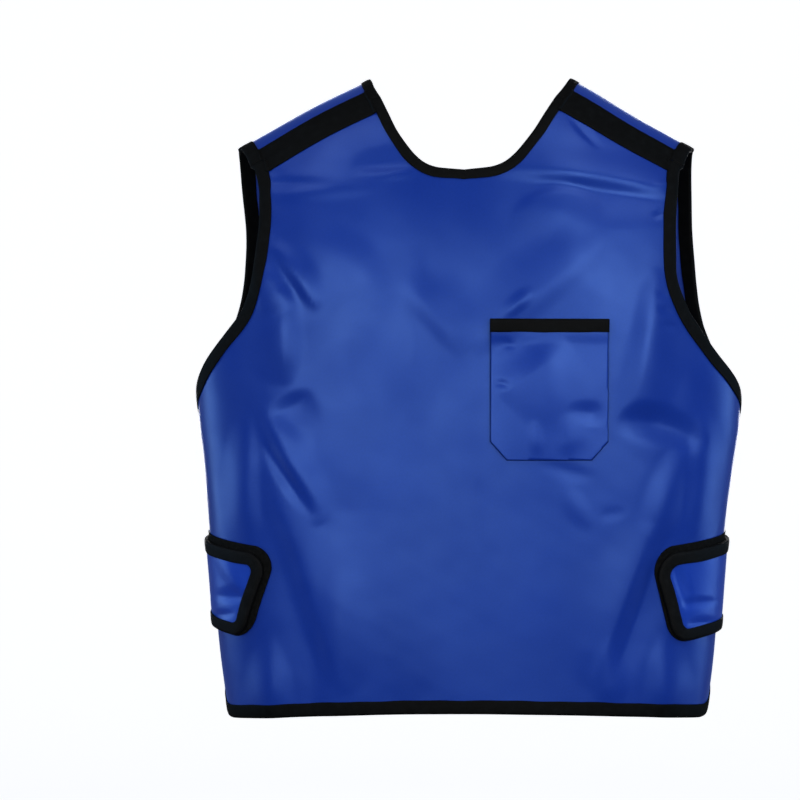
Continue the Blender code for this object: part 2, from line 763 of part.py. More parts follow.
def make_shoulder_band(name, sign, front_inner, back_inner):
    """Tape over one shoulder seam, between the legs of the neck and the armhole bindings."""
    neck_front, outer_front = front_inner
    neck_back, outer_back = back_inner

    def tip(front_tips, back_tips, run):
        """Turn of a binding leg's tip at this run on the front side of the ridge."""
        tips = front_tips if run > SEAM_RUN else [(turn, -place_run) for turn, place_run in back_tips]
        near = [place for place in tips if place[0] > 0.0 and abs(place[1]) < 2.0 * SEAM_RUN]
        near = sorted(near, key=lambda place: place[1])
        return float(np.interp(run, [place[1] for place in near], [place[0] for place in near]))

    stand_off = 0.5 * CLOTH + CLEARANCE + 0.5 * TAPE
    spare = (CLEARANCE + TAPE) / CHEST_HALF_WIDTH
    points, faces = [], []
    for row in range(BAND_ROWS + 1):
        run = SEAM_RUN + SHOULDER_BAND_WIDTH * (row / BAND_ROWS - 0.5)
        first = tip(neck_front, neck_back, run) + spare
        last = tip(outer_front, outer_back, run) - spare
        for turn in np.linspace(first, last, BAND_COLUMNS + 1):
            points.append(on_cloth(FRONT, (sign * turn, run), stand_off))
    for row in range(BAND_ROWS):
        for number in range(BAND_COLUMNS):
            first = row * (BAND_COLUMNS + 1) + number
            faces.append((first, first + 1, first + 2 + BAND_COLUMNS, first + 1 + BAND_COLUMNS))
    add_shell(name, points, faces, TAPE, MATERIALS["tape"])


def pocket_lift(place):
    """How far the pocket's cloth stands off the skin: sewn flat at its sides, fuller in its middle.

    Its mouth stands off by the thickness of the tape that is folded over it.
    """
    across, _, height = skin(FRONT, *place)
    share_across = min(max((across - POCKET_INNER) / POCKET_WIDTH, 0.0), 1.0)
    share_down = min(max((RIDGE_HEIGHT - POCKET_DROP - height) / POCKET_HEIGHT, 0.0), 1.0)
    flat_lift = 0.5 * CLOTH + POCKET_CLEARANCE + 0.5 * POCKET_CLOTH
    mouth_lift = (TAPE + CLEARANCE) * ease(POCKET_MOUTH_EASE * (1.0 - share_down / POCKET_MOUTH_SHARE))
    fullness = math.sin(math.pi * share_across) * math.sin(math.pi * share_down)
    return flat_lift + mouth_lift + POCKET_BULGE * fullness


def make_pocket():
    """The patch pocket with cut lower corners, and the tape over its top edge."""
    left, right = POCKET_INNER, POCKET_INNER + POCKET_WIDTH
    top = RIDGE_HEIGHT - POCKET_DROP
    low = top - POCKET_HEIGHT
    across = np.linspace(left, right, POCKET_COLUMNS + 1)
    mouth = [spot(FRONT, float(place), top) for place in across]
    corners = (
        (right, top),
        (right, low + POCKET_CUT_HEIGHT),
        (right - POCKET_CUT_WIDTH, low),
        (left + POCKET_CUT_WIDTH, low),
        (left, low + POCKET_CUT_HEIGHT),
        (left, top),
    )
    sides = []
    for start, end in zip(corners, corners[1:]):
        count = max(1, round(math.hypot(end[0] - start[0], end[1] - start[1]) / POCKET_STEP))
        sides.extend(spot(FRONT, *place) for place in straight(start, end, count)[:-1])
    sides.append(mouth[0])
    inner, vectors = inset(FRONT, mouth, POCKET_BAND_REACH, sides[-2], sides[1])
    turns = columns_between(mouth[0][0], mouth[-1][0])[1:-1]
    middle_run = spot(FRONT, 0.5 * (left + right), top)[1]
    runs = [middle_run + POCKET_HEIGHT * share for share in POCKET_ROWS]
    places, faces = lay_facets([mouth, sides], [inner, None], net(turns, runs), POCKET_SPACING)
    points = [on_cloth(FRONT, place, pocket_lift(place)) for place in places]
    add_shell("pocket", points, faces, POCKET_CLOTH, MATERIALS["cloth"])
    add_binding(
        "pocket_band", FRONT, mouth, inner, vectors, POCKET_CLOTH, pocket_lift, MATERIALS["tape"]
    )


def tab_lift(place):
    """How far a tab's cloth stands off the skin, over the patch and the bindings and at its root."""
    own = TAPE + CLEARANCE + 0.5 * TAB_CLOTH
    on_patch = 0.5 * CLOTH + PATCH_CLEARANCE + PATCH_CLOTH + TAB_CLEARANCE + own
    on_root = 0.5 * CLOTH + TAB_CLEARANCE + own
    fall = ease(1.0 - (TAB_LANDING_TURN - abs(place[0])) / TAB_FALL_TURN)
    return on_patch + (on_root - on_patch) * fall


def tab_turns(tab):
    """Turns of a tab's nose tip and chin."""
    return TAB_NOSE_TURN * (1.0 - tab.forward), TAB_CHIN_TURN * (1.0 - tab.forward)


def tab_heights(tab, turn):
    """Heights of a tab's top and bottom edges at a turn."""
    nose_turn, chin_turn = tab_turns(tab)
    chin_drop = TAB_CHIN_DROP + tab.deeper * TAB_HEIGHT
    share = (turn - nose_turn) / (TAB_ROOT_TURN - nose_turn)
    top = RIDGE_HEIGHT - TAB_NOSE_DROP + TAB_ROOT_RISE * share
    share = (turn - chin_turn) / (TAB_ROOT_TURN - chin_turn)
    low = RIDGE_HEIGHT - chin_drop + TAB_CHIN_RISE * share
    return top, low


def tab_edge(tab, start, end, margins=(0.0, 0.0)):
    """Top and bottom edges of a tab between two turns, moved out by their margins."""
    top, low = [], []
    for turn in columns_between(start, end):
        heights = tab_heights(tab, turn)
        top.append((turn, run_at(FRONT, turn, heights[0] + margins[0])))
        low.append((turn, run_at(FRONT, turn, heights[1] - margins[1])))
    return top, low


def columns_between(start, end):
    """Both turns given, and the columns of the net well between them."""
    first = math.ceil(start / COLUMN + COLUMN_MARGIN)
    last = math.floor(end / COLUMN - COLUMN_MARGIN)
    return [start] + [number * COLUMN for number in range(first, last + 1)] + [end]


def straight(start, end, count):
    """Even places on the straight line between two places."""
    shares = np.linspace(0.0, 1.0, count + 1)
    return [(start[0] + (end[0] - start[0]) * t, start[1] + (end[1] - start[1]) * t) for t in shares]


def nose_outline(low, top, chin_round, tip_round):
    """Outline from the back end of a bottom edge round the nose to the back end of a top edge."""
    nose = straight(low[0], top[0], CURVE_SAMPLES)
    chin_cut = corner_cut(FRONT, low[::-1], nose, chin_round)
    tip_cut = corner_cut(FRONT, nose, top, tip_round)
    nose_part = stretch(FRONT, nose, chin_cut, tip_cut, EDGE_STEP)
    low_end = stretch(FRONT, low, chin_cut, 0.0, 1.0)[0]
    top_start = stretch(FRONT, top, tip_cut, 0.0, 1.0)[0]
    spare = COLUMN_MARGIN * COLUMN
    low_part = [place for place in low if place[0] > low_end[0] + spare][::-1] + [low_end]
    top_part = [top_start] + [place for place in top if place[0] > top_start[0] + spare]
    chin_arc = corner(FRONT, low_end, low[0], nose_part[0], NOSE_STATIONS)
    tip_arc = corner(FRONT, nose_part[-1], top[0], top_start, NOSE_STATIONS)
    return low_part + chin_arc + nose_part + tip_arc + top_part


def tab_rows(tab, turns, shares, margins=(0.0, 0.0)):
    """Places inside a tab or its patch, at these turns and shares of the height."""
    places = []
    for turn in turns:
        top, low = tab_heights(tab, turn)
        top, low = top + margins[0], low - margins[1]
        places.extend((turn, run_at(FRONT, turn, top + (low - top) * share)) for share in shares)
    return places


def make_tab(tab):
    """One side tab with its binding."""
    nose_turn, chin_turn = tab_turns(tab)
    top = tab_edge(tab, nose_turn, TAB_ROOT_TURN)[0]
    low = tab_edge(tab, chin_turn, TAB_ROOT_TURN)[1]
    edge = nose_outline(low, top, TAB_CHIN_ROUND, TAB_BINDING_REACH + tab.tip)
    root = straight(edge[-1], edge[0], ROOT_STATIONS)
    extra = tab_rows(tab, columns_between(nose_turn, TAB_ROOT_TURN)[1:-1], TAB_ROWS)
    if tab.sign < 0:
        edge, root, extra = mirrored(edge)[::-1], mirrored(root)[::-1], mirrored(extra)
    inner, vectors = inset(FRONT, edge, TAB_BINDING_REACH, root[-2], root[1])
    places, faces = lay_facets([edge, root], [inner, None], extra, TAB_SPACING)
    points = [on_cloth(FRONT, place, tab_lift(place)) for place in places]
    add_shell("side_tab_" + tab.name, points, faces, TAB_CLOTH, MATERIALS["cloth"])
    add_binding(
        "tab_binding_" + tab.name, FRONT, edge, inner, vectors, TAB_CLOTH, tab_lift, MATERIALS["tape"]
    )


def make_patch(tab):
    """The patch of fastener loop on the front panel under a tab, which shows past the tab's nose."""
    margins = (PATCH_TOP_MARGIN, PATCH_FOOT_MARGIN)
    nose_turn, chin_turn = tab_turns(tab)
    nose_run = run_at(FRONT, nose_turn, tab_heights(tab, nose_turn)[0])
    forward = tab.shown / metric(FRONT, (nose_turn, nose_run))
    top = tab_edge(tab, nose_turn - forward, PATCH_BACK_TURN, margins)[0]
    low = tab_edge(tab, chin_turn - forward, PATCH_BACK_TURN, margins)[1]
    chin_round = TAB_CHIN_ROUND + tab.shown
    tip_round = TAB_BINDING_REACH + tab.tip + PATCH_FOOT_MARGIN
    outline = nose_outline(low, top, chin_round, tip_round)
    outline += straight(top[-1], low[-1], PATCH_BACK_STATIONS)[1:-1]
    columns = columns_between(nose_turn - forward, PATCH_BACK_TURN)[1:-1]
    extra = tab_rows(tab, columns, PATCH_ROWS, margins)
    if tab.sign < 0:
        outline, extra = mirrored(outline)[::-1], mirrored(extra)
    closed = [outline[0]] + outline + [outline[0]]
    places, faces = lay_facets([closed], [None], extra, PATCH_SPACING)
    stand_off = 0.5 * CLOTH + PATCH_CLEARANCE + 0.5 * PATCH_CLOTH
    points = [on_cloth(FRONT, place, stand_off) for place in places]
    add_shell("loop_patch_" + tab.name, points, faces, PATCH_CLOTH, MATERIALS["loop"])


clear_scene()
APRON = bpy.data.collections.new("lead_apron")
bpy.context.scene.collection.children.link(APRON)
MATERIALS = {
    "cloth": make_material("coated_cloth", BLUE, 0.42),
    "tape": make_material("binding_tape", BLACK, 0.55),
    "loop": make_material("fastener_loop", MATT_BLACK, 0.95),
}
FRONT_INNER = make_panel(FRONT)
BACK_INNER = make_panel(BACK)
make_pocket()
for TAB in TABS:
    make_shoulder_band("shoulder_band_" + TAB.name, TAB.sign, FRONT_INNER, BACK_INNER)
    make_tab(TAB)
    make_patch(TAB)
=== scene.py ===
"""Looks of the dental x-ray apron: fine cloth with its folds, taped edges, pocket, tabs and studio.

Units are metres in the row's frame. The skin's form repeats the named sizes of the part's source, and
every piece is laid on it as a place (turn, run): the angle round the body from the middle of its own
side, and the way over the shoulder and down.
"""

import math
from collections import namedtuple

import bpy
import numpy as np
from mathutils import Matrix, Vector
from mathutils.geometry import delaunay_2d_cdt


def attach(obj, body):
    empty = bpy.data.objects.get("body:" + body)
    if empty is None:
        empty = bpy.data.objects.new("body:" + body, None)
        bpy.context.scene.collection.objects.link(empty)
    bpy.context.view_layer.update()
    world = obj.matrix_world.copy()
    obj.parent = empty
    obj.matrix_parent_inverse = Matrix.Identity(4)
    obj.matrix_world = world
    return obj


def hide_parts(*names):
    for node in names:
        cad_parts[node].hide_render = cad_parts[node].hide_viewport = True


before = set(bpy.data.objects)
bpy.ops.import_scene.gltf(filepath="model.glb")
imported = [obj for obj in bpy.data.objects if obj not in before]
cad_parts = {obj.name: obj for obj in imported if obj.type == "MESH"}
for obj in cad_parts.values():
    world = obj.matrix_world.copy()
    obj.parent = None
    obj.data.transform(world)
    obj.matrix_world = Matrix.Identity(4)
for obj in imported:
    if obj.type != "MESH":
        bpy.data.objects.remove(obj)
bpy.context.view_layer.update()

# Camera at the photograph's angle: level, a little to the wearer's left of the middle
CAMERA_PLACE = (0.100, -2.6, -0.285)
CAMERA_TURN = math.radians(3.7)
CAMERA_LENS = 117.0
CAMERA_SIGHT = 60.0
SENSOR_WIDTH = 36.0
PICTURE_SIZE = 800.0

camera_data = bpy.data.cameras.new("Camera")
camera_data.lens = CAMERA_LENS
camera_data.sensor_width = SENSOR_WIDTH
camera_data.clip_end = CAMERA_SIGHT
camera = bpy.data.objects.new("Camera", camera_data)
camera.location = CAMERA_PLACE
camera.rotation_euler = (math.radians(90.0), 0.0, CAMERA_TURN)
bpy.context.scene.collection.objects.link(camera)
bpy.context.scene.camera = camera


def table(row_type, *rows):
    """Rows of values with named columns."""
    return tuple(row_type(*row) for row in rows)


def add_object(name, data):
    """A new object in the scene that shows this data."""
    thing = bpy.data.objects.new(name, data)
    bpy.context.scene.collection.objects.link(thing)
    return thing


# Cloth, tape and clearances, as in the part
CLOTH = 0.0024
TAPE = 0.0008
POCKET_CLOTH = 0.0014
TAB_CLOTH = 0.0018
PATCH_CLOTH = 0.0008
CLEARANCE = 0.0003
LEG_CLEARANCE = 0.0004
POCKET_CLEARANCE = 0.0005
BINDING_REACH = 0.0118
NECK_BINDING_REACH = 0.0085
NOSE_CLEARANCE = 0.0005

# Body form, as in the part
CHEST_HALF_WIDTH = 0.270
FRONT_DEPTH = 0.104
BACK_DEPTH = 0.098
SHOULDER_DEPTH = 0.200
RIDGE_HEIGHT = 0.035
SHOULDER_FALL = 0.069
RIDGE_BLEND = 0.035
RIDGE_BEND = 0.060
FRONT_LENGTH = 0.6205
BACK_LENGTH = 1.0153 * FRONT_LENGTH
SLOPE_REACH = 0.434
HEM_SAG = 0.0135
NECK_HALF_WIDTH = 0.1005
NECK_DEPTH = 0.0995
BACK_NECK_DEPTH = 0.101
SHOULDER_HALF_WIDTH = 0.8407 * CHEST_HALF_WIDTH
FRONT_HALF_WIDTH = 0.7474 * CHEST_HALF_WIDTH
BACK_HALF_WIDTH = 0.8352 * CHEST_HALF_WIDTH
SEAM_HALF_WIDTH = 0.7852 * CHEST_HALF_WIDTH
SEAM_RUN = 0.0623
ARMHOLE_DEPTH = 0.338
BACK_ARMHOLE_DEPTH = 0.292
SHOULDER_BAND_WIDTH = 0.0365
FRONT_SIDE_TURN = math.radians(104.5)
BACK_SIDE_TURN = math.radians(70.5)
BACK_HEM_TURN = math.radians(64.0)
UNDERARM_ROUND = BINDING_REACH + 0.010
HEM_ROUND = BINDING_REACH + 0.046
POCKET_INNER = 0.025
POCKET_WIDTH = 0.1135
POCKET_HEIGHT = 0.1345
POCKET_DROP = 0.2437
POCKET_CUT_WIDTH = 0.016
POCKET_CUT_HEIGHT = 0.018
POCKET_BULGE = 0.0024
POCKET_BAND_REACH = 0.0112
POCKET_MOUTH_SHARE = 0.18
POCKET_MOUTH_EASE = 1.8
TAB_NOSE_TURN = math.radians(49.6)
TAB_CHIN_TURN = math.radians(60.0)
TAB_ROOT_TURN = math.radians(133.0)
TAB_HEIGHT = 0.078
TAB_NOSE_DROP = 0.7615 * FRONT_LENGTH
TAB_CHIN_DROP = TAB_NOSE_DROP + TAB_HEIGHT
TAB_ROOT_RISE = 0.0285
TAB_CHIN_RISE = 0.024
TAB_LANDING_TURN = math.radians(127.0)
TAB_FALL_TURN = math.radians(6.0)
TAB_BINDING_REACH = 0.0105
TAB_CHIN_ROUND = TAB_BINDING_REACH + 0.0075
PATCH_CLEARANCE = 0.0006
TAB_CLEARANCE = 0.0006
PATCH_TOP_MARGIN = 0.0085
PATCH_FOOT_MARGIN = 0.003
PATCH_BACK_TURN = math.radians(90.0)

# What sets each tab apart: its side, how much further forward its nose and chin lie and how much deeper
# its chin, both as shares, the rounding of its nose's tip, and how much of its patch shows in front
Tab = namedtuple("Tab", "name sign forward deeper tip shown")
TABS = table(
    Tab,
    ("left", 1, 0.070, 0.065, 0.0100, 0.0050),
    ("right", -1, 0.0, 0.0, 0.0060, 0.0095),
)

# The body's girth down the front's length, as shares of the chest's
Girth = namedtuple("Girth", "drop width depth")
GIRTHS = table(
    Girth,
    (0.00, 1.000, 1.00),
    (0.38, 1.002, 1.00),
    (0.46, 0.995, 1.00),
    (0.53, 0.978, 1.00),
    (0.65, 0.952, 0.99),
    (0.86, 0.912, 0.97),
    (1.00, 0.868, 0.96),
)

# Half widths of the neck by their drop, as shares of the widest and the deepest
Neckline = namedtuple("Neckline", "drop half")
FRONT_NECKLINE = table(
    Neckline,
    (0.00, 1.000), (0.22, 0.873), (0.40, 0.777), (0.58, 0.681), (0.75, 0.563),
    (0.84, 0.488), (0.92, 0.393), (0.97, 0.270), (1.00, 0.000),
)
BACK_NECKLINE = table(
    Neckline,
    (0.00, 1.000), (0.22, 0.940), (0.40, 0.880), (0.58, 0.800),
    (0.75, 0.665), (0.87, 0.490), (0.96, 0.270), (1.00, 0.000),
)

# Armholes by their drop: how far round they have come, from their narrowest turn to the side edge's
Armhole = namedtuple("Armhole", "drop around")
FRONT_ARMHOLE = table(
    Armhole,
    (0.20, 0.080), (0.26, 0.040), (0.34, 0.008), (0.44, 0.000), (0.57, 0.014), (0.68, 0.088),
    (0.75, 0.200), (0.82, 0.340), (0.89, 0.545), (0.95, 0.790), (1.00, 1.000),
)
BACK_ARMHOLE = table(
    Armhole,
    (0.20, 0.040), (0.35, 0.010), (0.48, 0.000), (0.65, 0.080),
    (0.74, 0.180), (0.83, 0.390), (0.91, 0.700), (1.00, 1.000),
)

# The panels' sides, as signs of y
FRONT = -1
BACK = 1

# How close to a seam the bindings turn toward it, the steps along a seam, and how much of the edges near
# it, in runs of the seam, the shoulder bands' ends are fitted to
SEAM_TURN = 0.014
SEAM_STEPS = 40
BAND_SEARCH = 2.0

# Fineness of the meshes and of the curves, and rounds of the searches on the skin
PANEL_GRID = 0.0032
BACK_GRID = 0.0045
SMALL_GRID = 0.0020
EDGE_GRID = 0.0030
CURVE_SAMPLES = 241
LEAN_SAMPLES = 721
TURN_SAMPLES = 721
ROOT_STEPS = 49
PATCH_STEPS = 39
BAND_ROWS = 19
BAND_COLUMNS = 83
HALVINGS = 44
TRIES = 6
SKIN_STEP = 0.002
# Metres to a radian of turn: in the plane that meshes are laid out in, and on the skin where each lies
PLANE_SCALE = 0.2
PANEL_RADIUS = 0.19
POCKET_RADIUS = 0.25
TAB_RADIUS = 0.16
# How far from a mesh's edge its net begins, as shares of its grid
PANEL_MARGIN = 0.55
SMALL_MARGIN = 0.5

# Creases are placed in the front view. Its unit is one 800th of the picture's width, near a millimetre
# on the garment. across is from the garment's middle line, growing to the picture's right, and down is
# from the neck corners. bow is how far a crease's line bends at its middle to the right or the bottom.
# before and after are its reach to the left or top and to the right or bottom. height, in millimetres,
# is above zero for a ridge. sharp goes from 0, rounded, to 1, a keen edge on the steeper flank, and peak
# is where along it the crease is highest.
Crease = namedtuple("Crease", "across down to_across to_down bow before after height sharp peak")
FRONT_CREASES = table(
    Crease,
    # Folds that run from the tabs to the hem
    (-207, 374, -121, 614, 1, 22, 70, 3.4, 1.0, 0.54),
    (-212, 384, -142, 614, 1, 44, 22, -1.7, 0.8, 0.56),
    (-208, 322, -146, 446, 0, 15, 30, 4.0, 0.8, 0.56),
    (-206, 360, -150, 440, 0, 11, 14, -3.4, 0.5, 0.56),
    (-116, 430, -128, 690, 0, 34, 200, 3.8, 0.0, 0.52),
    (186, 444, 122, 612, 1, 46, 18, 2.7, 1.0, 0.46),
    (202, 450, 142, 610, 1, 18, 40, -2.7, 1.0, 0.46),
    (-222, 330, -218, 466, 0, 26, 18, 3.4, 0.0, 0.55),
    (236, 330, 230, 462, 0, 18, 24, 3.0, 0.0, 0.55),
    (-197, 552, -192, 646, 0, 30, 24, 4.4, 0.1, 0.62),
    (201, 552, 197, 646, 0, 24, 30, 4.2, 0.1, 0.62),
    (218, 366, 182, 470, 0, 26, 24, 3.0, 0.0, 0.50),
    (140, 556, 142, 630, 0, 22, 24, 2.4, 0.0, 0.60),
    # Wearer's right side and armhole
    (-183, 206, -181, 306, 0, 46, 20, 5.0, 0.3, 0.50),
    (-196, 164, -150, 232, 2, 9, 26, 3.6, 0.8, 0.50),
    (-210, 180, -176, 228, 0, 44, 14, 2.8, 0.4, 0.55),
    (-216, 148, -200, 236, 0, 18, 40, 3.0, 0.1, 0.50),
    (-200, 340, -154, 314, 0, 16, 44, -2.4, 0.4, 0.55),
    (-206, 100, -132, 104, 0, 4, 14, -1.6, 0.5, 0.35),
    (-204, 92, -180, 94, 0, 3, 4, -0.9, 0.5, 0.40),
    (-118, 88, -52, 82, 0, 22, 12, -2.4, 0.1, 0.50),
    (-122, 95, -50, 95, 0, 8, 6, 1.2, 0.4, 0.60),
    (-206, 114, -80, 106, 0, 30, 14, 1.6, 0.2, 0.45),
    (-158, 152, -78, 244, 14, 30, 30, 1.4, 0.1, 0.50),
    # Middle
    (-54, 170, -50, 344, 0, 34, 26, 1.5, 0.0, 0.50),
    (-72, 196, -4, 276, 4, 20, 50, 2.6, 0.3, 0.55),
    (-14, 278, 150, 146, 2, 50, 26, 2.6, 0.2, 0.50),
    (34, 238, 64, 211, 0, 12, 9, 2.0, 0.4, 0.50),
    # Wearer's left chest and armhole
    (8, 92, 218, 112, -7, 34, 14, 3.2, 0.4, 0.58),
    (12, 94, 216, 128, -4, 15, 38, -3.2, 0.1, 0.58),
    (44, 138, 136, 126, -18, 14, 50, 2.4, 0.1, 0.50),
    (180, 107, 204, 103, 0, 5, 5, 1.4, 0.4, 0.60),
    (182, 138, 198, 130, 0, 4, 5, -1.0, 0.4, 0.50),
    (188, 212, 206, 216, 0, 4, 5, -1.0, 0.4, 0.50),
    (190, 226, 208, 234, 0, 4, 6, -1.2, 0.4, 0.50),
    (192, 244, 212, 248, 0, 4, 6, -1.0, 0.4, 0.50),
    (98, 34, 132, 68, 0, 6, 7, -1.6, 0.4, 0.50),
    (190, 188, 156, 352, 5, 24, 48, 5.0, 0.3, 0.45),
    (150, 338, 238, 366, -6, 26, 24, -4.6, 0.4, 0.46),
    (88, 400, 124, 448, 0, 16, 16, 0.9, 0.0, 0.50),
    (130, 436, 160, 432, 0, 10, 10, -0.4, 0.0, 0.50),
    (70, 384, 128, 398, 0, 10, 12, -1.0, 0.0, 0.50),
)
POCKET_CREASES = table(
    Crease,
    (30, 316, 100, 262, 3, 28, 80, 3.0, 0.3, 0.50),
    (22, 300, 44, 306, 0, 5, 7, -1.2, 0.3, 0.45),
    (30, 258, 48, 268, 0, 6, 7, -1.2, 0.3, 0.50),
    (97, 328, 144, 339, 0, 16, 14, -1.8, 0.2, 0.57),
    (66, 340, 69, 386, 0, 11, 11, 1.0, 0.2, 0.50),
    (96, 334, 104, 390, 0, 16, 26, 1.2, 0.1, 0.50),
)
TAB_CREASES = table(
    Crease,
    (-252, 515, -214, 518, 0, 15, 6, -2.2, 0.5, 0.62),
    (-242, 474, -218, 514, 0, 12, 12, 1.8, 0.2, 0.50),
    (-256, 536, -226, 532, 0, 8, 6, -1.2, 0.4, 0.50),
    (206, 484, 220, 534, 0, 7, 12, -2.4, 0.4, 0.40),
    (212, 526, 248, 522, 0, 9, 7, -2.0, 0.4, 0.45),
    (218, 546, 250, 543, 0, 10, 6, -2.2, 0.5, 0.45),
)
# The back hangs plainly, with a few soft folds from its shoulders and tabs, placed as if seen through
# from the front
BACK_CREASES = table(
    Crease,
    (-196, 450, -112, 610, 0, 24, 40, 5.5, 0.5, 0.50),
    (198, 440, 122, 606, 0, 42, 22, 5.5, 0.5, 0.45),
    (-40, 110, -190, 140, 6, 26, 34, 4.0, 0.1, 0.50),
    (44, 112, 190, 132, 4, 20, 30, 4.2, 0.2, 0.50),
    (-60, 170, -150, 240, 0, 26, 28, -3.0, 0.0, 0.50),
    (70, 160, 160, 236, 0, 24, 26, -3.2, 0.0, 0.50),
    (-20, 300, -40, 520, 6, 30, 34, 2.6, 0.0, 0.50),
    (196, 180, 176, 330, 4, 24, 40, 4.6, 0.2, 0.45),
    (-200, 190, -180, 330, -4, 40, 24, 4.6, 0.2, 0.50),
    (-150, 548, 150, 552, 0, 90, 74, 4.0, 0.0, 0.50),
)

# Where the worn garment sits unevenly: at a spot of the front view, how far everything within reach
# shifts to the picture's right and down, in the same units. side limits it to the front or the back, and
# it then fades between them over SIDE_BLEND.
BOTH = 0
SIDE_BLEND = 0.03
Shift = namedtuple("Shift", "across down reach right lower side")
SHIFTS = table(
    Shift,
    (100, 0, 42, 2.2, 1.5, BOTH),
    (165, 40, 42, 0.0, 4.0, BOTH),
    (226, 70, 42, -3.4, 2.4, BOTH),
    (-98, 0, 42, 2.4, 1.2, BOTH),
    (-160, 38, 42, 0.0, -1.4, BOTH),
    (-228, 69, 42, -2.8, 0.0, BOTH),
    (-256, 276, 26, -4.0, 0.0, BOTH),
    (242, 264, 42, -5.0, 0.0, BOTH),
    (-240, 630, 110, -1.8, 1.6, BOTH),
    (240, 630, 110, -2.4, -2.6, BOTH),
    (-240, 480, 80, -2.8, 0.0, BOTH),
    (250, 480, 80, -2.4, 0.0, BOTH),
    (-204, 484, 38, 5.0, 0.5, BOTH),
    (-200, 100, 40, 2.0, 0.0, FRONT),
    (-222, 114, 34, -2.4, 0.0, BACK),
    (200, 106, 36, 3.0, 0.0, FRONT),
    (204, 208, 26, -2.4, 0.0, FRONT),
    (222, 140, 80, -2.2, 0.0, BACK),
)


def ease(share):
    """Smooth step from 0 to 1 as share goes from 0 to 1."""
    share = np.clip(share, 0.0, 1.0)
    return share * share * (3.0 - 2.0 * share)


def paired(first, second):
    """Places from their turns and runs, or other pairs of coordinates, along the last axis."""
    return np.stack((first, second), axis=-1)


def table_reader(places, values):
    """A function that reads a table along a smooth line that never overshoots its rows."""
    places = np.asarray(places, float)
    values = np.asarray(values, float)
    steps = np.diff(places)
    slopes = np.diff(values) / steps
    before, after = slopes[:-1], slopes[1:]
    product = before * after
    total = np.where(product > 0.0, before + after, 1.0)
    bends = np.concatenate((slopes[:1], np.where(product > 0.0, 2.0 * product / total, 0.0), slopes[-1:]))

    def read(place):
        place = np.clip(place, places[0], places[-1])
        row = np.clip(np.searchsorted(places, place, side="right") - 1, 0, len(places) - 2)
        share = (place - places[row]) / steps[row]
        low, high = values[row], values[row + 1]
        rise, level = steps[row] * bends[row], steps[row] * bends[row + 1]
        cubic = 2.0 * low - 2.0 * high + rise + level
        square = 3.0 * high - 3.0 * low - 2.0 * rise - level
        return ((cubic * share + square) * share + rise) * share + low

    return read


def column(rows, name, scale=1.0):
    """One column of a table as an array."""
    return np.array([getattr(row, name) for row in rows]) * scale


read_width = table_reader(column(GIRTHS, "drop", FRONT_LENGTH), column(GIRTHS, "width", CHEST_HALF_WIDTH))
read_depth = table_reader(column(GIRTHS, "drop", FRONT_LENGTH), column(GIRTHS, "depth"))

LEAN_ANGLES = np.linspace(0.0, math.pi / 2, LEAN_SAMPLES)
LEAN_STEPS = np.hypot(
    np.diff(FRONT_DEPTH * np.sin(LEAN_ANGLES)),
    np.diff(SHOULDER_DEPTH * (1.0 - np.cos(LEAN_ANGLES))),
)
LEAN_RUNS = np.concatenate(([0.0], np.cumsum(LEAN_STEPS)))
UPRIGHT_RUN = float(LEAN_RUNS[-1])


def over_shoulder(run):
    """The drop below the ridge, and the share of the full depth reached there."""
    angle = np.interp(np.abs(run), LEAN_RUNS, LEAN_ANGLES)
    drop = SHOULDER_DEPTH * (1.0 - np.cos(angle)) + np.maximum(np.abs(run) - UPRIGHT_RUN, 0.0)
    return drop, np.copysign(np.sin(angle), run)


def ridge_height(across):
    """Height of the shoulder ridge above the mount, level over the neck and then falling."""
    def past(place):
        beyond = np.abs(place) - RIDGE_BEND
        return 0.5 * (beyond + np.hypot(beyond, RIDGE_BLEND))

    slope = SHOULDER_FALL / (past(SHOULDER_HALF_WIDTH) - past(NECK_HALF_WIDTH))
    return RIDGE_HEIGHT - slope * (past(across) - past(NECK_HALF_WIDTH))


def skin(side, places):
    """Points of (turn, run) places on the smooth skin, before any fold."""
    turn, run = places[..., 0], places[..., 1]
    drop, lean = over_shoulder(run)
    across = read_width(drop) * np.sin(turn)
    facing = side * np.cos(turn) * lean
    depth = np.where(facing < 0.0, FRONT_DEPTH, BACK_DEPTH) * read_depth(drop)
    slope_left = 1.0 - ease((np.abs(run) - SEAM_RUN) / SLOPE_REACH)
    return np.stack((across, facing * depth, ridge_height(across) * slope_left - drop), axis=-1)


def tangents(side, places):
    """The skin's two directions at places, per radian of turn and per metre of run."""
    turn_step, run_step = np.array((SKIN_STEP, 0.0)), np.array((0.0, SKIN_STEP))
    round_way = (skin(side, places + turn_step) - skin(side, places - turn_step)) / (2.0 * SKIN_STEP)
    down_way = (skin(side, places + run_step) - skin(side, places - run_step)) / (2.0 * SKIN_STEP)
    return round_way, down_way


def outward(side, places):
    """The skin's unit normals, away from the body."""
    round_way, down_way = tangents(side, places)
    normal = side * np.cross(round_way, down_way)
    return normal / np.linalg.norm(normal, axis=-1, keepdims=True)


# Share of its reach that a crease keeps at its ends, the power of a keen flank, and the heights' unit
END_REACH = 0.35
KEEN = 1.35
MILLIMETRE = 0.001


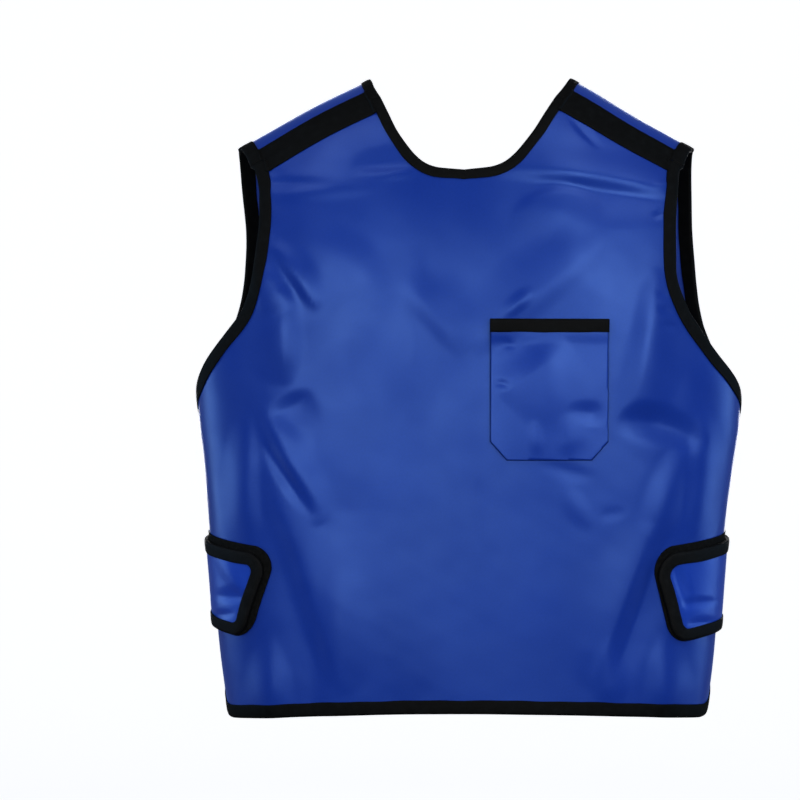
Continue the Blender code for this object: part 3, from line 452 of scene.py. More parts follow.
def crease_lift(creases, across, down):
    """Height that a table of creases adds, at places of the front view."""
    height = np.zeros_like(across)
    for crease in creases:
        along = np.array((crease.to_across - crease.across, crease.to_down - crease.down), float)
        length = float(np.hypot(*along))
        along /= length
        normal = np.array((-along[1], along[0]))
        main = 1 if abs(along[0]) > abs(along[1]) else 0
        normal *= math.copysign(1.0, normal[main])
        offset = paired(across - crease.across, down - crease.down)
        share = np.clip(offset @ along / length, 0.0, 1.0)
        aside = offset @ normal - 4.0 * crease.bow * share * (1.0 - share)
        fade = np.sin(math.pi * share ** (math.log(0.5) / math.log(crease.peak)))
        taper = END_REACH + (1.0 - END_REACH) * np.sqrt(np.maximum(fade, 0.0))
        reach = np.where(aside < 0.0, crease.before, crease.after) * taper
        near = np.clip(1.0 - np.abs(aside) / reach, 0.0, 1.0)
        steeper = (aside < 0.0) == (crease.before < crease.after)
        keenness = np.where(steeper, crease.sharp, 0.0)
        profile = near * near * (3.0 - 2.0 * near) * (1.0 - keenness) + near ** KEEN * keenness
        height += crease.height * fade * profile
    return height * MILLIMETRE


# The waves that make up an unevenness: their number, and how their headings, paces and starts differ by
# the seed and from wave to wave
WAVES = 5
SEED_HEADING, WAVE_HEADING = 1.7, 2.399
FIRST_PACE, PACE_STEP = 0.72, 0.17
SEED_START, WAVE_START = 3.1, 1.3


def waver(a, b, wave, seed):
    """Smooth unevenness between -1 and 1 over two coordinates, with about this wavelength."""
    total = np.zeros_like(a)
    for number in range(WAVES):
        heading = seed * SEED_HEADING + number * WAVE_HEADING
        pace = 2.0 * math.pi / wave * (FIRST_PACE + PACE_STEP * number)
        along = a * math.cos(heading) + b * math.sin(heading)
        total += np.sin(along * pace + seed * SEED_START + number * WAVE_START)
    return total / WAVES


# Where the front view has the garment's middle line and neck corners, and the camera's focal length, in
# the creases' unit
MIDDLE_LINE = 468.0
NECK_CORNERS = 80.0
FOCAL = CAMERA_LENS / SENSOR_WIDTH * PICTURE_SIZE

# How fast a shift fades over its reach
SHIFT_FADE = 1.6


def depth_of(points):
    """How far points lie from the camera, along its view."""
    away = points - np.array(CAMERA_PLACE)
    return away[..., 1] * math.cos(CAMERA_TURN) - away[..., 0] * math.sin(CAMERA_TURN)


def picture(points):
    """Where the front view shows points, across from the middle line and down from the neck corners."""
    away = points - np.array(CAMERA_PLACE)
    sideways = away[..., 0] * math.cos(CAMERA_TURN) + away[..., 1] * math.sin(CAMERA_TURN)
    depth = depth_of(points)
    across = 0.5 * PICTURE_SIZE + FOCAL * sideways / depth - MIDDLE_LINE
    down = 0.5 * PICTURE_SIZE - FOCAL * away[..., 2] / depth - NECK_CORNERS
    return across, down


def settled(points):
    """Points of the garment with its unevenness as worn."""
    points = np.asarray(points, float)
    across, down = picture(points)
    unit = depth_of(points) / FOCAL
    moved = points.copy()
    for shift in SHIFTS:
        near = ((across - shift.across) ** 2 + (down - shift.down) ** 2) / shift.reach ** 2
        weight = np.exp(-0.5 * SHIFT_FADE * near) * unit
        if shift.side != BOTH:
            weight = weight * ease(0.5 + shift.side * points[..., 1] / SIDE_BLEND)
        moved[..., 0] += shift.right * weight
        moved[..., 2] -= shift.lower * weight
    return moved


# The panels' folds fade between these turns. Below the seam the cloth has a broad unevenness, drawn out
# downward, and a fine one, with their heights in metres and their lengths in the creases' unit.
FOLDS_END = math.radians(80.0)
FOLDS_FADE = math.radians(14.0)
BODY_BLEND = 0.06
BROAD_HEIGHT, BROAD_LENGTH, BROAD_DRAW = 0.0009, 92.0, 0.45
FINE_HEIGHT, FINE_LENGTH = 0.00010, 31.0
FRONT_SEED, BACK_SEED, FINE_SEED = 1.0, 4.0, 2.0


def cloth_lift(side, places, points):
    """How far folds and unevenness lift a panel's cloth off the smooth skin."""
    across, down = picture(points)
    creases, seed = (FRONT_CREASES, FRONT_SEED) if side == FRONT else (BACK_CREASES, BACK_SEED)
    lift = crease_lift(creases, across, down)
    lift *= 1.0 - ease((np.abs(places[..., 0]) - FOLDS_END) / FOLDS_FADE)
    body = ease((places[..., 1] - SEAM_RUN) / BODY_BLEND)
    lift += body * BROAD_HEIGHT * waver(across, down * BROAD_DRAW, BROAD_LENGTH, seed)
    lift += body * FINE_HEIGHT * waver(across, down, FINE_LENGTH, seed + FINE_SEED)
    return lift


def on_cloth(side, places, lift=0.0):
    """Points at places, lifted off the skin by the cloth's folds and by lift."""
    base = skin(side, places)
    height = lift + cloth_lift(side, places, base)
    return base + outward(side, places) * np.asarray(height)[..., None]


def run_at(side, turn, height):
    """The run at which the skin has this height, for arrays."""
    turn, height = np.broadcast_arrays(np.asarray(turn, float), np.asarray(height, float))
    low = np.zeros_like(turn)
    high = np.full_like(turn, FRONT_LENGTH + BACK_LENGTH)
    for _ in range(HALVINGS):
        middle = 0.5 * (low + high)
        above = skin(side, paired(turn, middle))[..., 2] > height
        low = np.where(above, middle, low)
        high = np.where(above, high, middle)
    return 0.5 * (low + high)


def turn_at(across, run):
    """The turn at which the skin is this far from the middle line."""
    return np.arcsin(np.clip(across / read_width(over_shoulder(run)[0]), -1.0, 1.0))


def spot(side, across, height):
    """Places that lie this far from the middle line and at this height."""
    across = np.asarray(across, float)
    turn = turn_at(across, 0.0)
    for _ in range(TRIES):
        run = run_at(side, turn, height)
        turn = turn_at(across, run)
    return paired(turn, run)


def lengths(side, path):
    """How far along a path each of its places lies."""
    steps = np.linalg.norm(np.diff(skin(side, path), axis=0), axis=1)
    return np.concatenate(([0.0], np.cumsum(steps)))


def stretch(side, path, start, end, spacing):
    """Even stations along a path, from start metres along it to end metres before its end."""
    far = lengths(side, path)
    count = max(1, round((far[-1] - end - start) / spacing))
    marks = np.linspace(start, far[-1] - end, count + 1)
    return paired(np.interp(marks, far, path[:, 0]), np.interp(marks, far, path[:, 1]))


def metric(side, place):
    """The size on the skin of one radian of turn at a place."""
    return float(np.linalg.norm(tangents(side, np.asarray(place))[0]))


def corner_cut(side, before, after, radius):
    """How far from a corner of two paths an arc of this radius begins."""
    scale = np.array((metric(side, after[0]), 1.0))
    back = (before[-2] - before[-1]) * scale
    ahead = (after[1] - after[0]) * scale
    cosine = float(back @ ahead) / float(np.hypot(*back) * np.hypot(*ahead))
    return radius / math.tan(0.5 * math.acos(cosine))


def corner(side, start, middle, end, spacing):
    """The inner places of the arc that rounds a corner between two places."""
    scale = np.array((metric(side, middle), 1.0))
    first = (start - middle) * scale
    last = (end - middle) * scale
    bisector = first / np.hypot(*first) + last / np.hypot(*last)
    bisector /= np.hypot(*bisector)
    centre = bisector * float(first @ first) / float(first @ bisector)
    spokes = [first - centre, last - centre]
    begin = math.atan2(spokes[0][1], spokes[0][0])
    sweep = (math.atan2(spokes[1][1], spokes[1][0]) - begin + math.pi) % (2.0 * math.pi) - math.pi
    count = max(4, round(abs(sweep) * float(np.hypot(*spokes[0])) / spacing))
    shares = np.arange(1, count) / count
    radius = np.hypot(*spokes[0]) * (1.0 - shares) + np.hypot(*spokes[1]) * shares
    angle = begin + sweep * shares
    offsets = (centre + radius[:, None] * paired(np.cos(angle), np.sin(angle))) / scale
    return middle + offsets


def between(start, end, steps):
    """The places between two places that part their way into even steps."""
    return start + (end - start) * np.linspace(0.0, 1.0, steps + 1)[1:-1, None]


def mirrored(path):
    """The same path on the other side of the middle line."""
    return path * np.array((-1.0, 1.0))


def neck_half_at_seam():
    """Half width of the neck where the shoulder seams meet it."""
    read_half = table_reader(
        column(FRONT_NECKLINE, "drop", NECK_DEPTH), column(FRONT_NECKLINE, "half", NECK_HALF_WIDTH)
    )
    half = NECK_HALF_WIDTH
    for _ in range(TRIES):
        place = np.array((turn_at(half, SEAM_RUN), SEAM_RUN))
        half = float(read_half(RIDGE_HEIGHT - skin(FRONT, place)[2]))
    return half


def over_seam(outer_half, seam_half, power):
    """Places of an edge of the back panel from the seam over the ridge."""
    share = np.linspace(-1.0, 0.0, CURVE_SAMPLES)
    half = outer_half - (outer_half - seam_half) * np.abs(share) ** power
    return paired(turn_at(half, share * SEAM_RUN), share * SEAM_RUN)


# How far past the end of an edge's first part its table takes over
JOIN_GAP = 0.005


def neckline(side):
    """Left half of a panel's neck edge, from the shoulder seam to the middle line."""
    rows, depth = (FRONT_NECKLINE, NECK_DEPTH) if side == FRONT else (BACK_NECKLINE, BACK_NECK_DEPTH)
    read_half = table_reader(column(rows, "drop", depth), column(rows, "half", NECK_HALF_WIDTH))
    drops = depth * np.sin(np.linspace(0.0, math.pi / 2, CURVE_SAMPLES))
    path = spot(side, read_half(drops), RIDGE_HEIGHT - drops)
    seam_half = neck_half_at_seam()
    if side == FRONT:
        seam = np.array([(turn_at(seam_half, SEAM_RUN), SEAM_RUN)])
        return np.concatenate((seam, path[path[:, 1] > SEAM_RUN]))
    return np.concatenate((over_seam(NECK_HALF_WIDTH, seam_half, power=2.0), path[path[:, 1] > JOIN_GAP]))


def armhole(side):
    """Left armhole edge of a panel, from the shoulder seam to the corner under the arm."""
    if side == FRONT:
        rows, depth, narrow, last_turn = FRONT_ARMHOLE, ARMHOLE_DEPTH, FRONT_HALF_WIDTH, FRONT_SIDE_TURN
        path = np.array([(turn_at(SEAM_HALF_WIDTH, SEAM_RUN), SEAM_RUN)])
    else:
        rows, depth, narrow, last_turn = BACK_ARMHOLE, BACK_ARMHOLE_DEPTH, BACK_HALF_WIDTH, BACK_SIDE_TURN
        path = over_seam(SHOULDER_HALF_WIDTH, SEAM_HALF_WIDTH, power=1.0)
    first_turn = float(turn_at(narrow, SEAM_RUN))
    drops = column(rows, "drop", depth)
    read_turn = table_reader(drops, first_turn + column(rows, "around", last_turn - first_turn))
    marks = np.linspace(drops[0], drops[-1], CURVE_SAMPLES)
    turns = read_turn(marks)
    rest = paired(turns, run_at(side, turns, RIDGE_HEIGHT - marks))
    return np.concatenate((path, rest[rest[:, 1] > path[-1, 1] + JOIN_GAP]))


def hem_run(side, turn):
    """Run of the hem, which sags a little toward the sides."""
    length = FRONT_LENGTH if side == FRONT else BACK_LENGTH
    return run_at(side, turn, RIDGE_HEIGHT - length - HEM_SAG * np.sin(turn) ** 2)


def outer_edge(side):
    """Left half of a panel's armhole, side and hem edges, from the shoulder seam to the middle line."""
    arm = armhole(side)
    under = arm[-1]
    top_turn, low_turn = FRONT_SIDE_TURN, FRONT_SIDE_TURN
    if side == BACK:
        top_turn, low_turn = BACK_SIDE_TURN, BACK_HEM_TURN
    foot = np.array((low_turn, float(hem_run(side, low_turn))))
    share = np.linspace(0.0, 1.0, CURVE_SAMPLES)
    flank = paired(top_turn + (low_turn - top_turn) * share, under[1] + (foot[1] - under[1]) * share)
    turns = np.linspace(low_turn, 0.0, CURVE_SAMPLES)
    hem = paired(turns, hem_run(side, turns))
    under_cut = corner_cut(side, arm, flank, UNDERARM_ROUND)
    foot_cut = corner_cut(side, flank, hem, HEM_ROUND)
    arm_part = stretch(side, arm, 0.0, under_cut, EDGE_GRID)
    flank_part = stretch(side, flank, under_cut, foot_cut, EDGE_GRID)
    hem_part = stretch(side, hem, foot_cut, 0.0, EDGE_GRID)
    under_arc = corner(side, arm_part[-1], under, flank_part[0], EDGE_GRID)
    foot_arc = corner(side, flank_part[-1], foot, hem_part[0], EDGE_GRID)
    return np.concatenate((arm_part, under_arc, flank_part, foot_arc, hem_part))


def inset_vectors(side, chain, ends=None):
    """Vectors of one metre of inset at each station of an edge, in space, square to the edge.

    ends are the places next to its first and last station along the seams that it stops at, or None.
    """
    points = skin(side, chain)
    normal = outward(side, chain)
    along = np.gradient(points, axis=0)
    vectors = side * np.cross(normal, along)
    vectors /= np.linalg.norm(vectors, axis=1, keepdims=True)
    if ends is not None:
        far = lengths(side, chain)
        for place, station, gap in ((ends[0], 0, far), (ends[1], -1, far[-1] - far)):
            if place is None:
                continue
            seam = skin(side, np.asarray(place)) - points[station]
            turned = seam / float(seam @ vectors[station])
            weight = (np.clip(1.0 - gap / SEAM_TURN, 0.0, 1.0) ** 2)[:, None]
            vectors = vectors * (1.0 - weight) + turned * weight
    return vectors


def shifted(side, chain, vectors, reach):
    """Places this far inside an edge."""
    round_way, down_way = tangents(side, chain)
    wanted = vectors * np.asarray(reach)[..., None]
    a, b, c = (round_way * round_way).sum(1), (round_way * down_way).sum(1), (down_way * down_way).sum(1)
    p, q = (wanted * round_way).sum(1), (wanted * down_way).sum(1)
    spread = a * c - b * b
    return chain + paired((p * c - q * b) / spread, (q * a - p * b) / spread)


def flat(places):
    """Places as points of the plane that meshes are laid out in."""
    return places * np.array((PLANE_SCALE, 1.0))


def inside(points, ring):
    """Which points of the plane lie inside a closed ring."""
    hit = np.zeros(len(points), bool)
    for a, b in zip(ring, np.roll(ring, -1, axis=0)):
        crosses = (a[1] > points[:, 1]) != (b[1] > points[:, 1])
        if crosses.any():
            edge = a[0] + (b[0] - a[0]) * (points[crosses, 1] - a[1]) / (b[1] - a[1])
            hit[crosses] ^= points[crosses, 0] < edge
    return hit


def gap_to(points, ring):
    """Distance in the plane from points to a closed ring."""
    nearest = np.full(len(points), np.inf)
    for a, b in zip(ring, np.roll(ring, -1, axis=0)):
        along = b - a
        share = np.clip((points - a) @ along / float(along @ along), 0.0, 1.0)
        away = points - (a + share[:, None] * along)
        nearest = np.minimum(nearest, np.hypot(away[:, 0], away[:, 1]))
    return nearest


# Asks the triangulation for what lies inside the ring, and how close together two points are one
INSIDE_ONLY = 1
SAME_POINT = 1e-8


def fill(ring, grid, radius, margin):
    """Places and triangles of an area inside a closed ring of places, with an even net inside.

    The third result is how far each place lies from the ring, in the plane. radius is the one that the
    skin is taken to have there.
    """
    outline = flat(ring)
    marks = []
    for low, high, step in zip(ring.min(0), ring.max(0), (grid / radius, grid)):
        marks.append(np.arange(math.floor(low / step), math.ceil(high / step) + 1) * step)
    net = np.stack(np.meshgrid(*marks), axis=-1).reshape(-1, 2)
    net = net[inside(flat(net), outline)]
    net = net[gap_to(flat(net), outline) > margin]
    places = np.concatenate((ring, net))
    vectors = [Vector(point) for point in flat(places)]
    found = delaunay_2d_cdt(vectors, [], [list(range(len(ring)))], INSIDE_ONLY, SAME_POINT)
    faces = np.array([[found[3][vertex][0] for vertex in face] for face in found[2]])
    a, b, c = (flat(places[faces[:, k]]) for k in range(3))
    area = (b[:, 0] - a[:, 0]) * (c[:, 1] - a[:, 1]) - (b[:, 1] - a[:, 1]) * (c[:, 0] - a[:, 0])
    faces[area < 0] = faces[area < 0][:, ::-1]
    return places, faces, gap_to(flat(places), outline)


def net_faces(rows, columns):
    """Faces of a net whose points are numbered row by row."""
    number = np.arange(rows * columns).reshape(rows, columns)
    parts = (number[:-1, :-1], number[:-1, 1:], number[1:, 1:], number[1:, :-1])
    return np.stack([part.ravel() for part in parts], axis=-1)


def add_mesh(name, points, faces, thickness, material, uv, edge=None, inner_material=None):
    """A piece of cloth or tape: an open surface along its middle, given its thickness.

    edge is how far each point lies from the piece's edge. The inner material is for the face that looks
    back along the surface's normals.
    """
    mesh = bpy.data.meshes.new(name)
    mesh.from_pydata(settled(points).tolist(), [], faces.tolist())
    mesh.update()
    mesh.materials.append(material)
    mesh.materials.append(inner_material or material)
    mesh.shade_smooth()
    layer = mesh.uv_layers.new(name="UVMap")
    loops = np.zeros(len(mesh.loops), np.int32)
    mesh.loops.foreach_get("vertex_index", loops)
    layer.data.foreach_set("uv", np.asarray(uv, np.float32)[loops].ravel())
    if edge is not None:
        attribute = mesh.attributes.new("edge", "FLOAT", "POINT")
        attribute.data.foreach_set("value", np.asarray(edge, np.float32))
    thing = add_object(name, mesh)
    solidify = thing.modifiers.new("Thickness", "SOLIDIFY")
    solidify.thickness = thickness
    solidify.offset = 0.0
    solidify.use_even_offset = False
    solidify.use_quality_normals = True
    solidify.material_offset = 1
    solidify.material_offset_rim = 0
    return thing


def cloth_uv(places):
    """Metres round and down the cloth, for its weave."""
    turns = np.linspace(-math.pi, math.pi, TURN_SAMPLES)
    far = lengths(FRONT, paired(turns, np.full_like(turns, UPRIGHT_RUN)))
    return paired(np.interp(places[:, 0], turns, far), places[:, 1])


def add_cloth(name, side, cut, lift, thickness, material, inner_material=None):
    """A piece of cloth, cut to what fill() returned and lifted off the skin."""
    places, faces, edge = cut
    points = on_cloth(side, places, lift)
    return add_mesh(name, points, faces, thickness, material, cloth_uv(places), edge, inner_material)


# Cross section of a folded tape: how far inside the edge, as a share of its reach, how far off the
# cloth's middle, as a share of its stand-off, and how much of its crown it has there
TapePoint = namedtuple("TapePoint", "inside stand crown")
TAPE_LEG = table(
    TapePoint,
    (1.00, 0.86, 0.0),
    (0.93, 0.98, 0.0),
    (0.80, 1.00, 0.0),
    (0.55, 1.00, 1.0),
    (0.30, 1.00, 1.0),
    (0.10, 0.99, 0.5),
)
TAPE_CROWN = 0.00015
TAPE_NOSE_ANGLES = (62.0, 34.0, 0.0, -34.0, -62.0)
TAPE_NOSE_BULGE = 0.0005
TAPE_NOSE_POWER = 0.8


def tape_section(reach, stand_off, nose):
    """Section of the tape as (inside, off the middle) from its outer leg's tip to its inner leg's tip."""
    outer = [(p.inside * reach, p.stand * stand_off + p.crown * TAPE_CROWN) for p in TAPE_LEG]
    bend = []
    for angle in TAPE_NOSE_ANGLES:
        turn = math.radians(angle)
        ahead = (nose + TAPE_NOSE_BULGE) * math.cos(turn) ** TAPE_NOSE_POWER
        bend.append((-ahead, stand_off * math.sin(turn)))
    inner = [(depth, -off) for depth, off in outer[::-1]]
    return outer + bend + inner


# A tape's edge wobbles in a wide and a close wave, and its legs pucker, more here and less there. Both
# fade toward its ends. A run is the length in which a wave turns by one radian.
CALM_REACH = 0.02
WIDE_WOBBLE, WIDE_RUN = 0.00022, 0.0135
CLOSE_WOBBLE, CLOSE_RUN = 0.00018, 0.0061
PUCKER, PUCKER_RUN = 0.00010, 0.0034
PUCKER_MEAN, PUCKER_CHANGE, CHANGE_RUN = 0.6, 0.4, 0.021


def add_binding(name, side, edge, reach, cloth, lift, material, seed, ends=None):
    """Tape folded round an edge, with a leg on each face of the cloth and a slightly uneven edge."""
    vectors = inset_vectors(side, edge, ends)
    far = lengths(side, edge)
    calm = ease(np.minimum(far, far[-1] - far) / CALM_REACH)
    normal = outward(side, edge)
    stand_off = 0.5 * cloth + LEG_CLEARANCE + 0.5 * TAPE
    section = tape_section(reach, stand_off, NOSE_CLEARANCE + 0.5 * TAPE)
    wide = WIDE_WOBBLE * np.sin(far / WIDE_RUN + seed)
    wobble = calm * (wide + CLOSE_WOBBLE * np.sin(far / CLOSE_RUN + 2.0 * seed))
    change = PUCKER_MEAN + PUCKER_CHANGE * np.sin(far / CHANGE_RUN + seed)
    pucker = calm * PUCKER * np.sin(far / PUCKER_RUN + seed) * change
    rows = []
    at_edge = on_cloth(side, edge, lift(edge))
    for depth, off in section:
        if depth > 0.0:
            places = shifted(side, edge, vectors, depth + wobble * (depth / reach))
            rows.append(on_cloth(side, places, lift(places) + off + math.copysign(1.0, off) * pucker))
        else:
            rows.append(at_edge + vectors * depth + normal * off)
    points = np.stack(rows, axis=1)
    stations, count = points.shape[:2]
    across = np.cumsum([0.0] + [math.dist(a, b) for a, b in zip(section, section[1:])])
    across = np.minimum(across, across[-1] - across)
    uv = paired(np.repeat(far, count), np.tile(across, stations))
    return add_mesh(name, points.reshape(-1, 3), net_faces(stations, count), TAPE, material, uv)


def no_lift(places):
    """The panels themselves lie on the skin."""
    return np.zeros(places.shape[:-1])


def make_panel(side, materials):
    """One panel with its two bindings."""
    name, grid = ("front", PANEL_GRID) if side == FRONT else ("back", BACK_GRID)
    neck = stretch(side, neckline(side), 0.5 * CLEARANCE, 0.0, EDGE_GRID)
    outer = outer_edge(side)
    outer[0] = stretch(side, armhole(side), 0.5 * CLEARANCE, 0.0, EDGE_GRID)[0]
    neck_loop = np.concatenate((mirrored(neck), neck[::-1][1:]))
    outer_loop = np.concatenate((outer, mirrored(outer)[::-1][1:]))
    seam = between(neck[0], outer[0], SEAM_STEPS)
    right_seam = mirrored(seam)
    ring = np.concatenate((neck_loop, seam, outer_loop, right_seam[::-1]))
    places, faces, edge = fill(ring, grid, PANEL_RADIUS, PANEL_MARGIN * grid * PLANE_SCALE / PANEL_RADIUS)
    if side == FRONT:
        faces = faces[:, ::-1]
    cut = (places, faces, edge)
    panel = add_cloth(name + "_cloth", side, cut, 0.0, CLOTH, materials["cloth"], materials["lining"])
    neck_tape = add_binding(
        name + "_neck_tape", side, neck_loop, NECK_BINDING_REACH, CLOTH, no_lift, materials["tape"],
        seed=1.0, ends=(right_seam[0], seam[0]),
    )
    edge_tape = add_binding(
        name + "_edge_tape", side, outer_loop, BINDING_REACH, CLOTH, no_lift, materials["tape"],
        seed=2.0, ends=(seam[-1], right_seam[-1]),
    )
    return panel, neck_tape, edge_tape, neck, outer


# How much further than its plain width each shoulder band lies, above and below the seam, at its neck
# and its armhole end
Spread = namedtuple("Spread", "above_neck above_arm below_neck below_arm")
SPREADS = {
    "left": Spread(0.0012, 0.0020, -0.0006, 0.0000),
    "right": Spread(0.0000, 0.0000, 0.0028, 0.0014),
}
# How far each band laps onto the bindings at its ends, the run of its step up, and how much closer
# together than elsewhere its stations lie there
BAND_LAP = 0.0016
BAND_STEP = 0.0014
BAND_GATHER = 0.9
# A band's long edges curl down by BAND_CURL, from CURL_START of its half width on, over CURL_SHARE of it.
# Its face has a faint ripple. BAND_LENGTH is its length for the weave.
BAND_CURL = 0.00018
CURL_START = 0.86
CURL_SHARE = 0.14
BAND_RIPPLE = 0.00006
RIPPLE_PACE = 60.0
BAND_LENGTH = 0.125


def binding_tips(side, chain, seam_end, reach):
    """Where the inner edge of a binding runs near the seam that it stops at."""
    near = chain[np.abs(chain[:, 1]) < BAND_SEARCH * SEAM_RUN]
    seam_next = near[0] + (seam_end - near[0]) / SEAM_STEPS
    return shifted(side, near, inset_vectors(side, near, (seam_next, None)), reach)


def band_end(front_tips, back_tips, runs):
    """Turns at which a band meets the bindings, whose tips it follows in front of and behind the seam."""
    back_tips = back_tips * np.array((1.0, -1.0))
    turns = []
    for tips in (front_tips, back_tips):
        tips = tips[np.argsort(tips[:, 1])]
        turns.append(np.interp(runs, tips[:, 1], tips[:, 0]))
    return np.where(runs > SEAM_RUN, *turns)


def make_shoulder_band(name, sign, spread, front, back, materials):
    """Tape over one shoulder seam, from the neck's binding to the armhole's."""
    lap = BAND_LAP / CHEST_HALF_WIDTH
    runs = SEAM_RUN + SHOULDER_BAND_WIDTH * (np.linspace(0.0, 1.0, BAND_ROWS) - 0.5)
    neck_tips, arm_tips = [], []
    for side, (neck, outer) in ((FRONT, front), (BACK, back)):
        tips = binding_tips(side, mirrored(neck), mirrored(outer[0]), NECK_BINDING_REACH)
        neck_tips.append(mirrored(tips))
        arm_tips.append(binding_tips(side, outer, neck[0], BINDING_REACH))
    first = band_end(*neck_tips, runs) - lap
    last = band_end(*arm_tips, runs) + lap
    step = np.linspace(0.0, 1.0, BAND_COLUMNS)
    share = step - BAND_GATHER * np.sin(2.0 * math.pi * step) / (2.0 * math.pi)
    turns = first[:, None] + (last - first)[:, None] * share
    above = spread.above_neck + (spread.above_arm - spread.above_neck) * share
    below = spread.below_neck + (spread.below_arm - spread.below_neck) * share
    down = np.linspace(0.0, 1.0, BAND_ROWS)[:, None]
    spans = runs[:, None] - above * (1.0 - down) + below * down
    places = paired(sign * turns, spans)
    edge_share = np.abs(np.linspace(-1.0, 1.0, BAND_ROWS))[:, None]
    ripple = BAND_RIPPLE * np.sin(share * RIPPLE_PACE)
    curl = ripple - BAND_CURL * ease((edge_share - CURL_START) / CURL_SHARE)
    to_end = np.minimum(share, 1.0 - share) * (last - first)[:, None] * CHEST_HALF_WIDTH
    climb = (TAPE + 2.0 * CLEARANCE) * ease((BAND_LAP + BAND_STEP - to_end) / BAND_STEP)
    points = on_cloth(FRONT, places, 0.5 * CLOTH + CLEARANCE + 0.5 * TAPE + curl + climb)
    faces = net_faces(BAND_ROWS, BAND_COLUMNS)
    if sign < 0:
        faces = faces[:, ::-1]
    near_edge = 0.5 * SHOULDER_BAND_WIDTH - np.abs(runs - SEAM_RUN)
    uv = paired(np.tile(share * BAND_LENGTH, BAND_ROWS), np.repeat(near_edge, BAND_COLUMNS))
    return add_mesh(name, points.reshape(-1, 3), faces, TAPE, materials["tape"], uv)


# How fast the pocket's creases rise from its edges, and the share of their height that it shows
POCKET_CREASE_RISE = 2.5
POCKET_CREASE_SHARE = 0.9


def pocket_lift(places):
    """How far the pocket's cloth stands off the panel's middle."""
    points = skin(FRONT, places)
    share_across = np.clip((points[..., 0] - POCKET_INNER) / POCKET_WIDTH, 0.0, 1.0)
    share_down = np.clip((RIDGE_HEIGHT - POCKET_DROP - points[..., 2]) / POCKET_HEIGHT, 0.0, 1.0)
    flat_lift = 0.5 * CLOTH + POCKET_CLEARANCE + 0.5 * POCKET_CLOTH
    mouth = (TAPE + CLEARANCE) * ease(POCKET_MOUTH_EASE * (1.0 - share_down / POCKET_MOUTH_SHARE))
    fullness = np.sin(math.pi * share_across) * np.sin(math.pi * share_down)
    creases = crease_lift(POCKET_CREASES, *picture(points)) * ease(fullness * POCKET_CREASE_RISE)
    return flat_lift + mouth + POCKET_BULGE * fullness + creases * POCKET_CREASE_SHARE


def make_pocket(materials):
    """The patch pocket with cut lower corners, and the tape over its top."""
    left, right = POCKET_INNER, POCKET_INNER + POCKET_WIDTH
    top = RIDGE_HEIGHT - POCKET_DROP
    low = top - POCKET_HEIGHT
    corners = np.array((
        (left, top),
        (right, top),
        (right, low + POCKET_CUT_HEIGHT),
        (right - POCKET_CUT_WIDTH, low),
        (left + POCKET_CUT_WIDTH, low),
        (left, low + POCKET_CUT_HEIGHT),
        (left, top),
    ))
    ring = []
    for start, end in zip(corners, corners[1:]):
        count = max(2, round(float(np.hypot(*(end - start))) / SMALL_GRID))
        ring.append(start + (end - start) * np.arange(count)[:, None] / count)
    mouth_count = len(ring[0])
    ring = np.concatenate(ring)
    ring = spot(FRONT, ring[:, 0], ring[:, 1])
    cut = fill(ring, SMALL_GRID, POCKET_RADIUS, SMALL_MARGIN * SMALL_GRID)
    pocket = add_cloth("pocket_cloth", FRONT, cut, pocket_lift(cut[0]), POCKET_CLOTH, materials["pocket"])
    band = add_binding(
        "pocket_tape", FRONT, ring[: mouth_count + 1], POCKET_BAND_REACH, POCKET_CLOTH, pocket_lift,
        materials["tape"], seed=3.0,
    )
    return pocket, band


def tab_lift(places):
    """How far a tab's cloth stands off the skin."""
    own = TAPE + CLEARANCE + 0.5 * TAB_CLOTH
    on_patch = 0.5 * CLOTH + PATCH_CLEARANCE + PATCH_CLOTH + TAB_CLEARANCE + own
    on_root = 0.5 * CLOTH + TAB_CLEARANCE + own
    fall = ease(1.0 - (TAB_LANDING_TURN - np.abs(places[..., 0])) / TAB_FALL_TURN)
    return on_patch + (on_root - on_patch) * fall


def tab_turns(tab):
    """Turns of a tab's nose tip and chin."""
    return TAB_NOSE_TURN * (1.0 - tab.forward), TAB_CHIN_TURN * (1.0 - tab.forward)


def tab_heights(tab, turn):
    """Heights of a tab's top and bottom edges at a turn."""
    nose_turn, chin_turn = tab_turns(tab)
    chin_drop = TAB_CHIN_DROP + tab.deeper * TAB_HEIGHT
    top = RIDGE_HEIGHT - TAB_NOSE_DROP + TAB_ROOT_RISE * (turn - nose_turn) / (TAB_ROOT_TURN - nose_turn)
    low = RIDGE_HEIGHT - chin_drop + TAB_CHIN_RISE * (turn - chin_turn) / (TAB_ROOT_TURN - chin_turn)
    return top, low


